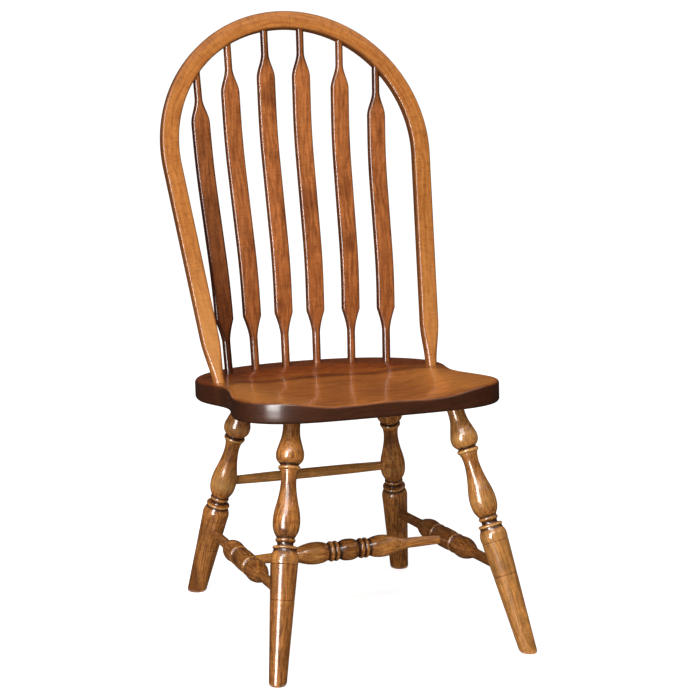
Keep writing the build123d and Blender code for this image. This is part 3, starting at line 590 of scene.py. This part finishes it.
def section(width, depth, corner):
    """Corner points of a rounded rectangle, or of a circle where its corners fill it."""
    points = []
    for quarter, (sx, sy) in enumerate(((1, 1), (-1, 1), (-1, -1), (1, -1))):
        cx, cy = sx * (width / 2 - corner), sy * (depth / 2 - corner)
        for step in range(CORNER_STEPS + 1):
            angle = (quarter + step / CORNER_STEPS) * pi / 2
            points.append(Vector((cx + corner * cos(angle), cy + corner * sin(angle), 0)))
    return points


def sweep(stations, flat, shift, side_shade):
    """Extrude a circle that becomes a flat along stations: frame, distance, diameter, share of flat, tone."""
    bm = bmesh.new()
    grain, _, tone = wood_layers(bm)
    for station, ring in extruded_rings(bm, 4 * (CORNER_STEPS + 1), stations):
        matrix, distance, diameter, share, level = station
        circle = (diameter, diameter, diameter / 2)
        width, depth, corner = (size + share * (to - size) for size, to in zip(circle, flat))
        points = section(width, depth, corner)
        for vert, index in ring:
            point = points[index]
            vert.co = matrix @ point
            vert[grain] = Vector((point.x, point.y, distance)) + Vector(shift)
            # The sides of the section are darker: partly darker stain, partly painted shade
            vert[tone] = level - side_shade * max(abs(point.x) - width / 2 + corner, 0) / corner
    return bm


def linked_object(name, bm, material):
    """An object of the scene made from a mesh."""
    mesh = bpy.data.meshes.new(name)
    bm.to_mesh(mesh)
    bm.free()
    mesh.materials.append(material)
    thing = bpy.data.objects.new(name, mesh)
    bpy.context.scene.collection.objects.link(thing)
    return thing


def new_object(name, bm, material, nodes):
    """Finish a mesh: close it, point its faces outwards, and let it stand for its CAD nodes."""
    bmesh.ops.remove_doubles(bm, verts=bm.verts, dist=WELD)
    bmesh.ops.recalc_face_normals(bm, faces=bm.faces)
    for face in bm.faces:
        face.smooth = True
    for edge in bm.edges:
        edge.smooth = edge.calc_face_angle(0.0) < SHARP_ANGLE
    piece = linked_object(name, bm, material)
    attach(piece, "root")
    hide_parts(*nodes)


class Graph:
    """Short way to lay out the nodes of a material."""

    def __init__(self, tree):
        self.tree = tree
        tree.nodes.clear()

    def add(self, kind, settings=None, **inputs):
        """Add a node, set its options and set or link its inputs."""
        node = self.tree.nodes.new(kind)
        for key, value in (settings or {}).items():
            setattr(node, key, value)
        for key, value in inputs.items():
            socket = node.inputs[int(key[1:])] if key[1:].isdigit() else node.inputs[key.replace("_", " ")]
            if isinstance(value, bpy.types.NodeSocket):
                self.tree.links.new(value, socket)
            else:
                socket.default_value = value
        return node

    def layer(self, name, output="Fac"):
        """A vertex layer of the mesh."""
        return self.add("ShaderNodeAttribute", {"attribute_name": name}).outputs[output]

    def math(self, operation, first, second=0.0):
        """One step of arithmetic."""
        return self.add("ShaderNodeMath", {"operation": operation}, i0=first, i1=second).outputs[0]

    def blend(self, kind, factor, first, second):
        """Mix two colours."""
        settings = {"data_type": "RGBA", "blend_type": kind}
        return self.add("ShaderNodeMix", settings, i0=factor, i6=first, i7=second).outputs[2]

    def stretched(self, source, scale):
        """Coordinates stretched along the grain."""
        return self.add("ShaderNodeMapping", {"vector_type": "POINT"}, Vector=source, Scale=scale).outputs[0]

    def noise(self, source, scale, detail=3.0, rough=0.55):
        """Value of a noise over stretched coordinates, around 0.5."""
        return self.add(
            "ShaderNodeTexNoise", Vector=self.stretched(source, scale), Scale=1.0, Detail=detail,
            Roughness=rough).outputs["Fac"]

    def ramp(self, value, low, high, strength=None):
        """Ease a value from 0 at low to 1 at high, or to a strength."""
        settings = {"interpolation_type": "SMOOTHSTEP"}
        eased = self.add("ShaderNodeMapRange", settings, Value=value, i1=low, i2=high).outputs[0]
        return eased if strength is None else self.math("MULTIPLY", eased, strength)


def new_material(name):
    """A material and its empty graph."""
    material = bpy.data.materials.new(name)
    material.use_nodes = True
    return material, Graph(material.node_tree)


def shade(colour, factor, tint=(1.0, 1.0, 1.0)):
    """A colour tinted and made lighter or darker, with an alpha."""
    return tuple(min(channel * part * factor, 1.0) for channel, part in zip(colour, tint)) + (1.0,)


def stained_wood(name, colour, glaze, finish):
    """Stained wood under clear lacquer, with its grain along the third grain coordinate."""
    material, graph = new_material(name)
    grain = graph.layer("grain", "Vector")
    wander = graph.add(
        "ShaderNodeTexNoise", Vector=graph.stretched(grain, WANDER_SCALE), Scale=1.0, Detail=2.0)
    bent = graph.add(
        "ShaderNodeVectorMath", {"operation": "MULTIPLY_ADD"}, i0=wander.outputs["Color"], i1=WANDER_REACH,
        i2=grain).outputs[0]

    streak = finish["streak"]
    light, dark = shade(colour, 1 + STREAK_LIGHT * streak), shade(colour, 1 - streak, STREAK_TINT)
    mottle = graph.noise(bent, *MOTTLE_NOISE)
    base = graph.blend("MIX", graph.ramp(mottle, *MOTTLE_RANGE), dark, light)
    bands = {"wave_type": "BANDS", "bands_direction": finish["growth_axis"], "wave_profile": "SIN"}
    layers = graph.add(
        "ShaderNodeTexWave", bands, Vector=graph.stretched(bent, GROWTH_STRETCH),
        Scale=finish["growth_scale"], **GROWTH_WAVE).outputs["Fac"]
    base = graph.blend("MULTIPLY", graph.ramp(layers, *GROWTH_RANGE, finish["growth"]), base, GROWTH_TINT)
    shown = {}
    for figure, (wanders, noise, span, tint) in FIGURES.items():
        if finish[figure]:
            pattern = graph.noise(bent if wanders else grain, *noise)
            shown[figure] = graph.ramp(pattern, *span, finish[figure])
            base = graph.blend("MULTIPLY", shown[figure], base, tint)
    if name == "seat_stain":
        base = saddle_shading(graph, grain, base)

    # The tone layer darkens or lightens the stain: partly stain differences, partly painted light and shade
    tone = graph.layer("tone")
    darker = graph.math("MAXIMUM", graph.math("MULTIPLY", tone, -1.0), 0.0)
    base = graph.blend("MULTIPLY", darker, base, DARK_TONE)
    lighter = graph.math("MAXIMUM", tone, 0.0)
    base = graph.blend("MIX", lighter, base, shade(colour, LIGHT_TONE, LIGHT_TINT))
    groove = graph.math("MULTIPLY", graph.layer("glaze"), GLAZE_STRENGTH)
    base = graph.blend("MIX", groove, base, tuple(glaze) + (1.0,))

    height = graph.math("SUBTRACT", mottle, shown["pores"])
    bump = graph.add("ShaderNodeBump", Strength=WOOD_BUMP, Distance=WOOD_BUMP_DEPTH, Height=height).outputs[0]
    tint = tuple(channel ** finish["amber"] for channel in LACQUER_TINT) + (1.0,)
    surface = graph.add(
        "ShaderNodeBsdfPrincipled", Base_Color=base, Normal=bump, Roughness=WOOD_ROUGHNESS,
        Specular_IOR_Level=finish["sheen"], Coat_Weight=finish["gloss"], Coat_Roughness=finish["haze"],
        Coat_IOR=LACQUER_IOR, Coat_Tint=tint)
    graph.add("ShaderNodeOutputMaterial", Surface=surface.outputs[0])
    return material


def saddle_shading(graph, grain, base):
    """Painted shade along the step behind the saddle, and deeper painted shade on the deck."""
    from_centre = graph.add(
        "ShaderNodeMapping", {"vector_type": "POINT"}, Vector=grain, Location=(-SPINDLE_ROW_CENTRE, 0, 0),
        Scale=(1, 0, 1)).outputs[0]
    reach = graph.add("ShaderNodeVectorMath", {"operation": "LENGTH"}, i0=from_centre).outputs["Value"]

    def towards_deck(span, strength=None):
        return graph.ramp(reach, DECK_REACH - span[0], DECK_REACH - span[1], strength)

    fall = graph.math("SUBTRACT", 1.0, towards_deck(CREASE_FALL))
    crease = graph.math("MULTIPLY", towards_deck(CREASE_RISE), fall)
    base = graph.blend("MULTIPLY", graph.math("MULTIPLY", crease, CREASE_SHADE_STRENGTH), base, CREASE_SHADE_TINT)
    return graph.blend("MULTIPLY", towards_deck(DECK_RISE, DECK_SHADE_STRENGTH), base, DECK_SHADE_TINT)


def plain_fastening(name, colour, metallic, roughness):
    """Steel or split wood of the hidden fastenings, with fine lines along it."""
    material, graph = new_material(name)
    lines = graph.noise(graph.add("ShaderNodeTexCoord").outputs["Object"], *LINE_NOISE)
    base = graph.blend("MIX", lines, *(shade(colour, level) for level in LINE_SHADES))
    bump = graph.add("ShaderNodeBump", Strength=LINE_BUMP, Distance=LINE_BUMP_DEPTH, Height=lines).outputs[0]
    surface = graph.add(
        "ShaderNodeBsdfPrincipled", Base_Color=base, Normal=bump, Metallic=metallic, Roughness=roughness)
    graph.add("ShaderNodeOutputMaterial", Surface=surface.outputs[0])
    return material


def finish_material(scene, name):
    """The finish of one kind of piece, made once."""
    if name in bpy.data.materials:
        return bpy.data.materials[name]
    colours = scene.chair_finish
    return stained_wood(name, getattr(colours, name.removesuffix("_stain")), colours.glaze, FINISHES[name])


class CHAIR_OT_seat(bpy.types.Operator):
    """Shape the saddled seat from rings of points inside its outline"""

    bl_idname = "chair.seat"
    bl_label = "Seat"

    def execute(self, context):
        scene = context.scene
        sizes = scene.chair_seat
        outline = seat_outline()
        middle = np.array((0.0, SEAT_MIDDLE_Y))
        reach = np.linalg.norm(outline - middle, axis=1)
        away = (outline - middle) / reach[:, None]
        quarter = [step / SEAT_EDGE_STEPS * pi / 2 for step in range(SEAT_EDGE_STEPS + 1)]
        # Each ring: shares of the inner outline, of the edge's round outwards, of the way up and of the round
        # upwards, then how far onto the top the dark edge fades, and the share of painted highlight
        rings = [(share, 0, 0, 0, 0, 0) for share in SEAT_FLAT_SHARES]
        rings += [(1, sin(angle), 0, 1 - cos(angle), 0, 0) for angle in quarter]
        rings += [(1, 1, share, 1 - 2 * share, 0, 0) for share in SEAT_SIDE_SHARES]
        rings += [(1, cos(angle), 1, sin(angle) - 1, sin(angle), 0) for angle in quarter]
        rings += [(1 - step / SEAT_RINGS, 0, 1, 0, 1, SEAT_SIDE_HIGHLIGHT) for step in range(1, SEAT_RINGS)]

        bm = bmesh.new()
        grain, glaze, tone = wood_layers(bm)
        floor = -sizes.thickness
        for (inset, out, way_up, up, onto_top, highlit), ring in extruded_rings(bm, SEAT_STEPS, rings):
            for vert, index in ring:
                rearwards = away[index][1]
                edge = sizes.edge_round + SEAT_REAR_ROUND * smooth_step(*SEAT_REAR_FACING, rearwards)
                # Dark edge, with painted shade that deepens where the edge faces the front
                edge_tone = SEAT_EDGE_TONE + SEAT_FRONT_SHADE * smooth_step(*SEAT_FRONT_FACING, -rearwards)
                x, y = middle + away[index] * (inset * (reach[index] - edge) + out * edge)
                height = floor + way_up * (-saddle_depth(sizes, x, y) - floor) + up * edge
                # Painted highlight at the sides of the saddle
                side_highlight = smooth_step(*SEAT_HIGHLIGHT_X, abs(x)) * (1 - smooth_step(*SEAT_HIGHLIGHT_Y, y))
                vert.co = (x, y, height)
                vert[grain] = (y, height, x)
                vert[tone] = edge_tone * (1 - onto_top**3) + highlit * side_highlight
                vert[glaze] = SEAT_EDGE_GLAZE * (1 - onto_top)
        bmesh.ops.transform(bm, matrix=seat_matrix(sizes), verts=bm.verts)
        new_object("seat_plank", bm, finish_material(scene, "seat_stain"), ["seat"])
        return {"FINISHED"}


class CHAIR_OT_bow(bpy.types.Operator):
    """Bend the bow: round feet, flat limbs and a round top"""

    bl_idname = "chair.bow"
    bl_label = "Bow"

    def execute(self, context):
        scene = context.scene
        back = scene.chair_back
        out, up = sin(back.lean), cos(back.lean)
        foot_x = (back.radius - back.centre * out) / up
        straight = back.centre * up - foot_x * out
        curve = pi + 2 * back.lean
        total = 2 * straight + curve * back.radius
        taper = BOW_FOOT_TAPER + BOW_BURY
        marks = [step / BOW_FOOT_STEPS * taper - BOW_BURY for step in range(BOW_FOOT_STEPS + 1)]
        marks += [BOW_FOOT_TAPER + share * (straight - BOW_FOOT_TAPER) for share in BOW_LIMB_SHARES]
        limb = [(mark, foot_x + mark * out, mark * up) for mark in marks]
        places = [(mark, x, y, pi / 2 - back.lean) for mark, x, y in limb]
        for step in range(BOW_TOP_STEPS + 1):
            turned = step / BOW_TOP_STEPS * curve
            angle = turned - back.lean
            x, y = back.radius * cos(angle), back.centre + back.radius * sin(angle)
            places.append((straight + turned * back.radius, x, y, angle + pi / 2))
        places += [(total - mark, -x, y, 3 * pi / 2 + back.lean) for mark, x, y in reversed(limb)]

        stations = []
        for distance, x, y, heading in places:
            near_foot = min(distance, total - distance)
            share = smooth_step(0, BOW_FOOT_TAPER, near_foot)
            across = Vector((sin(heading), -cos(heading), 0))
            along = Vector((cos(heading), sin(heading), 0))
            turn = Matrix((across, along.cross(across), along)).transposed().to_4x4()
            matrix = bow_matrix(scene) @ Matrix.Translation((x, y, 0)) @ turn
            tone = BOW_FOOT_TONES[distance > total / 2] * (1 - smooth_step(0, BOW_LIGHT_FOOT, near_foot))
            stations.append((matrix, distance, back.foot, share, tone))
        bm = sweep(stations, (back.width, back.depth, BOW_ROUND), BOW_GRAIN, BOW_SIDE_SHADE)
        new_object("bow_hoop", bm, finish_material(scene, "bow_stain"), ["bow"])
        return {"FINISHED"}


class CHAIR_OT_spindles(bpy.types.Operator):
    """Bend and shape the arrow spindles"""

    bl_idname = "chair.spindles"
    bl_label = "Spindles"

    def execute(self, context):
        scene = context.scene
        back = scene.chair_back
        seat, bow = seat_matrix(scene.chair_seat), bow_matrix(scene)
        flat = (back.blade_width, back.blade_depth, SPINDLE_ROUND)
        inner = back.radius - back.width / 2
        for number, (side, pair) in enumerate(SPINDLES):
            base_x, top_x = SPINDLE_BASE_X[pair], SPINDLE_TOP_X[pair]
            base_y = SPINDLE_ROW_CENTRE + sqrt(SPINDLE_ROW_RADIUS**2 - base_x**2)
            top_y = back.centre + sqrt(inner**2 - top_x**2)
            base = seat @ Vector((side * base_x, base_y, 0))
            top = bow @ Vector((side * top_x, top_y, -SPINDLE_TOP_BACK))
            rise = top - base
            length, up = rise.length, rise.normalized()
            across = rise.cross(Vector((0, 1, 0))).normalized()
            rear = across.cross(up)
            bend = SPINDLE_BEND_AT * length
            swing = bend * tan(SPINDLE_SWING)
            lower = base + up * bend - rear * swing
            upper = base + up * (length - bend) + rear * swing
            start = base + (base - lower).normalized() * SPINDLE_BURY
            finish = top + (top - upper).normalized() * SPINDLE_BURY
            path = rounded_path([start, lower, upper, finish], SPINDLE_BEND_RADIUS)
            points = even_points(path, SPINDLE_STEPS)

            foot_tone, head_tone = SPINDLE_TONES[number]
            stations = []
            distance = -SPINDLE_BURY
            for index, point in enumerate(points):
                near = points[max(index - 1, 0):index + 2]
                along = (near[-1] - near[0]).normalized()
                distance += (point - near[0]).length
                from_top = length - distance
                low = min(max((distance - SPINDLE_SHANK) / SPINDLE_SHOULDER, 0), 1)
                high = smooth_step(SPINDLE_NECK, SPINDLE_NECK + SPINDLE_NECK_SHOULDER, from_top)
                share = min(low**SPINDLE_SHOULDER_EASE, high)
                round_d = back.shank if distance < length / 2 else back.neck
                turn = Matrix((across, along.cross(across), along)).transposed().to_4x4()
                tone = foot_tone + distance / length * (head_tone - foot_tone)
                tone += SPINDLE_NECK_SHADES[number] * (1 - smooth_step(*SPINDLE_NECK_SHADE_FADE, from_top))
                stations.append((Matrix.Translation(point) @ turn, distance, round_d, share, tone))
            shift = [number * step for step in SPINDLE_GRAIN]
            bm = sweep(stations, flat, shift, SPINDLE_SIDE_SHADE)
            new_object(
                f"arrow_spindle_{number + 1}", bm, finish_material(scene, "spindle_stain"),
                [f"spindle_{number + 1}"])
        return {"FINISHED"}


def leg_profile(length):
    """Distances down a leg and its diameters, in millimetres, to below the floor."""
    def taper(at):
        share = (at - LEG_GROOVE_AT) / (length - LEG_GROOVE_AT)
        return LEG_TAPER_D + share * (LEG_FOOT_D - LEG_TAPER_D)

    profile = [(-LEG_TENON, LEG_TENON_D), (-LEG_BURY, LEG_TENON_D), (-LEG_BURY, LEG_SWELL[0][1])]
    profile += flow(LEG_SWELL) + ring_arc(LEG_RING) + list(LEG_STEP) + flow(LEG_VASE)
    profile += ring_arc(LEG_BEAD) + ring_arc(LEG_COVE) + ring_arc(LEG_FILLET) + flow(LEG_COLLAR)
    for at, last in ((LEG_GROOVE_AT, LEG_SCRIBE_AT - LEG_SCRIBE_GAP), (LEG_SCRIBE_AT, length + LEG_FOOT_D)):
        start = at + GROOVE_HALF
        profile += [(at - GROOVE_HALF, taper(at)), (at, taper(at) - 2 * GROOVE_DEEP), (start, taper(at))]
        for step in range(1, LEG_TAPER_STEPS + 1):
            place = start + step / LEG_TAPER_STEPS * (last - start)
            profile.append((place, taper(place)))
    return profile


class CHAIR_OT_legs(bpy.types.Operator):
    """Turn the legs and cut their feet to the floor"""

    bl_idname = "chair.legs"
    bl_label = "Legs"

    def execute(self, context):
        scene = context.scene
        socket, foot = leg_ends(scene, "front", RIGHT)
        profile = leg_profile((foot - socket).length / MM)
        legs = [(end, side, word) for end in ("front", "rear") for side, word in SIDES]
        for number, (end, side, word) in enumerate(legs, 1):
            socket, foot = leg_ends(scene, end, side)
            bm = turn_on_lathe(profile, [number * shift for shift in LEG_GRAIN], LEG_TONES[f"{end}_{word}"])
            bmesh.ops.transform(bm, matrix=aimed(socket, foot - socket), verts=bm.verts)
            cut = bmesh.ops.bisect_plane(
                bm, geom=bm.verts[:] + bm.edges[:] + bm.faces[:], plane_co=(0, 0, 0), plane_no=(0, 0, -1),
                clear_outer=True)["geom_cut"]
            bmesh.ops.contextual_create(bm, geom=[e for e in cut if isinstance(e, bmesh.types.BMEdge)])
            rim = [e for e in bm.edges if all(abs(v.co.z) < TOUCH for v in e.verts)]
            bmesh.ops.bevel(
                bm, geom=rim, offset=FOOT_ROUND, offset_type="OFFSET", affect="EDGES",
                segments=FOOT_ROUND_STEPS, profile=0.5, material=-1)
            stain = finish_material(scene, "turned_stain")
            new_object(f"turned_leg_{end}_{word}", bm, stain, [f"leg_{end}_{word}"])
        return {"FINISHED"}


def half_length(ends):
    """Half the length of a stretcher, in millimetres."""
    return (ends[1] - ends[0]).length / 2 / MM


def turn_stretcher(scene, kind, node, ends, half, shift, tones):
    """Turn a stretcher, the same both ways from its middle, and set it between its ends."""
    profile = [(-at, diameter) for at, diameter in reversed(half)] + [mark for mark in half if mark[0] > 0]
    bm = turn_on_lathe(profile, shift, tones)
    middle = (ends[0] + ends[1]) / 2
    bmesh.ops.transform(bm, matrix=aimed(middle, ends[1] - middle), verts=bm.verts)
    new_object(f"{kind}_{node}", bm, finish_material(scene, "turned_stain"), [node])


class CHAIR_OT_stretchers(bpy.types.Operator):
    """Turn the side, centre and rear stretchers"""

    bl_idname = "chair.stretchers"
    bl_label = "Stretchers"

    def execute(self, context):
        scene = context.scene
        turning = flow(SIDE_BARREL) + ring_arc(SIDE_BEAD)[1:] + flow(SIDE_BULB)[1:]
        for side, word in SIDES:
            ends = side_ends(scene, side)
            half = turning + [(half_length(ends), SIDE_END_D)]
            node = f"side_stretcher_{word}"
            turn_stretcher(scene, "turned", node, ends, half, SIDE_GRAIN[word], SIDE_TONES[word])

        ends = [sum(side_ends(scene, side), Vector()) / 2 for side in (LEFT, RIGHT)]
        half = flow(CENTRE_BALL)
        for bead in CENTRE_BEADS:
            half += ring_arc(bead)[1:]
        half += flow(CENTRE_VASE)[1:] + [(half_length(ends), CENTRE_END_D)]
        turn_stretcher(scene, "turned", "centre_stretcher", ends, half, CENTRE_GRAIN, CENTRE_TONES)

        at = scene.chair_stance.rear_stretcher
        ends = [on_leg(scene, "rear", side, at) for side in (LEFT, RIGHT)]
        end = half_length(ends)
        half = flow(list(zip((0, end / 2, end - REAR_NECK, end), REAR_DIAMETERS)))
        turn_stretcher(scene, "plain", "rear_stretcher", ends, half, REAR_GRAIN, REAR_TONES)
        return {"FINISHED"}


class CHAIR_OT_fastenings(bpy.types.Operator):
    """Finish the wedges, screws and pins that hold the joints"""

    bl_idname = "chair.fastenings"
    bl_label = "Fastenings"

    def execute(self, context):
        steel = plain_fastening("drawn_steel", *STEEL)
        split = plain_fastening("split_wood", *SPLIT_WOOD)
        for node in STEEL_NODES + (WEDGE_NODE,):
            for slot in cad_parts[node].material_slots:
                slot.material = split if node == WEDGE_NODE else steel
        return {"FINISHED"}


class CHAIR_OT_stage(bpy.types.Operator):
    """Set the white floor, the lamps and the camera"""

    bl_idname = "chair.stage"
    bl_label = "Stage"

    def execute(self, context):
        scene = context.scene
        settings = scene.chair_stage
        scene.view_settings.view_transform = "Standard"
        self.lay_floor()
        self.light_world(scene, settings)
        self.hang_lamp("key_lamp", *KEY_LAMP, settings.key)
        self.hang_lamp("strip_lamp", *STRIP_LAMP, settings.strip)
        for name, setting in FLAGS.items():
            self.stand_card(name, *setting, "ShaderNodeBsdfDiffuse", Color=FLAG_BROWN)
        self.stand_card("softbox", *SOFTBOX, "ShaderNodeEmission", Color=WHITE, Strength=settings.glint)
        self.set_camera(scene, settings)
        return {"FINISHED"}

    def seen_rays(self, graph):
        """1 for rays that show the background: seen directly, mirrored or through glass."""
        path = graph.add("ShaderNodeLightPath").outputs
        seen = graph.math("MAXIMUM", path["Is Camera Ray"], path["Is Glossy Ray"])
        return graph.math("MAXIMUM", seen, path["Is Transmission Ray"])

    def lay_floor(self):
        """A white floor that keeps the shadow of the chair."""
        bm = bmesh.new()
        bmesh.ops.create_grid(bm, x_segments=2, y_segments=2, size=FLOOR_HALF)
        material, graph = new_material("studio_white")
        strength = graph.math("MULTIPLY", self.seen_rays(graph), FLOOR_GLOW)
        matte = graph.add("ShaderNodeBsdfDiffuse", Color=FLOOR_GREY)
        glow = graph.add("ShaderNodeEmission", Color=WHITE, Strength=strength)
        both = graph.add("ShaderNodeAddShader", i0=matte.outputs[0], i1=glow.outputs[0])
        graph.add("ShaderNodeOutputMaterial", Surface=both.outputs[0])
        floor = linked_object("studio_floor", bm, material)

    def light_world(self, scene, settings):
        """White where it is seen, and a softer even light elsewhere."""
        world = bpy.data.worlds.new("studio_world")
        world.use_nodes = True
        graph = Graph(world.node_tree)
        seen = self.seen_rays(graph)
        dim = graph.math("MULTIPLY", graph.math("SUBTRACT", 1.0, seen), settings.fill)
        light = graph.add("ShaderNodeBackground", Color=WHITE, Strength=graph.math("ADD", seen, dim))
        graph.add("ShaderNodeOutputWorld", Surface=light.outputs[0])
        scene.world = world

    def stand_card(self, name, place, aim, size, surface, **inputs):
        """A card, unseen itself, that the lacquer mirrors in place of the white room."""
        place, aim = Vector(place), Vector(aim)
        matrix = aimed(place, aim - place) @ Matrix.Diagonal((*size, 1, 1))
        bm = bmesh.new()
        bmesh.ops.create_grid(bm, x_segments=1, y_segments=1, size=0.5, matrix=matrix)
        material, graph = new_material(name)
        graph.add("ShaderNodeOutputMaterial", Surface=graph.add(surface, **inputs).outputs[0])
        card = linked_object(name, bm, material)
        for ray in ("camera", "diffuse", "shadow", "transmission"):
            setattr(card, f"visible_{ray}", False)

    def hang_lamp(self, name, place, aim, size, power):
        """A soft rectangular lamp aimed at a point."""
        data = bpy.data.lights.new(name, "AREA")
        data.shape = "RECTANGLE"
        data.size, data.size_y = size
        data.energy = power
        lamp = bpy.data.objects.new(name, data)
        bpy.context.scene.collection.objects.link(lamp)
        lamp.matrix_world = aimed(Vector(place), Vector(place) - Vector(aim))

    def set_camera(self, scene, settings):
        """The camera at the viewing angle of the picture."""
        data = bpy.data.cameras.new("photo_camera")
        data.lens = settings.lens
        data.sensor_width = SENSOR_WIDTH
        camera = bpy.data.objects.new("photo_camera", data)
        scene.collection.objects.link(camera)
        azimuth, elevation = settings.azimuth, settings.elevation
        flat = cos(elevation)
        back = Vector((sin(azimuth) * flat, -cos(azimuth) * flat, sin(elevation)))
        place = Vector(settings.target) + back * settings.distance
        camera.matrix_world = aimed(place, back) @ Matrix.Rotation(settings.roll, 4, "Z")
        scene.camera = camera


class CHAIR_PT_panel(bpy.types.Panel):
    """Lists the pieces of the chair"""

    bl_idname = "CHAIR_PT_panel"
    bl_label = "Side chair"
    bl_space_type = "VIEW_3D"
    bl_region_type = "UI"
    bl_category = "Chair"

    def draw(self, context):
        for operator in OPERATORS:
            self.layout.operator(operator.bl_idname)


GROUPS = {
    "chair_seat": SeatSizes,
    "chair_back": BackSizes,
    "chair_stance": StanceSizes,
    "chair_finish": FinishColours,
    "chair_stage": StageSettings,
}
OPERATORS = (
    CHAIR_OT_seat,
    CHAIR_OT_bow,
    CHAIR_OT_spindles,
    CHAIR_OT_legs,
    CHAIR_OT_stretchers,
    CHAIR_OT_fastenings,
    CHAIR_OT_stage,
)


def register():
    for name, group in GROUPS.items():
        bpy.utils.register_class(group)
        setattr(bpy.types.Scene, name, PointerProperty(type=group))
    for kind in OPERATORS + (CHAIR_PT_panel,):
        bpy.utils.register_class(kind)


def unregister():
    for kind in reversed(OPERATORS + (CHAIR_PT_panel,)):
        bpy.utils.unregister_class(kind)
    for name, group in reversed(GROUPS.items()):
        delattr(bpy.types.Scene, name)
        bpy.utils.unregister_class(group)


def main():
    register()
    bpy.ops.chair.seat()
    bpy.ops.chair.bow()
    bpy.ops.chair.spindles()
    bpy.ops.chair.legs()
    bpy.ops.chair.stretchers()
    bpy.ops.chair.fastenings()
    bpy.ops.chair.stage()


if __name__ == "__main__":
    main()
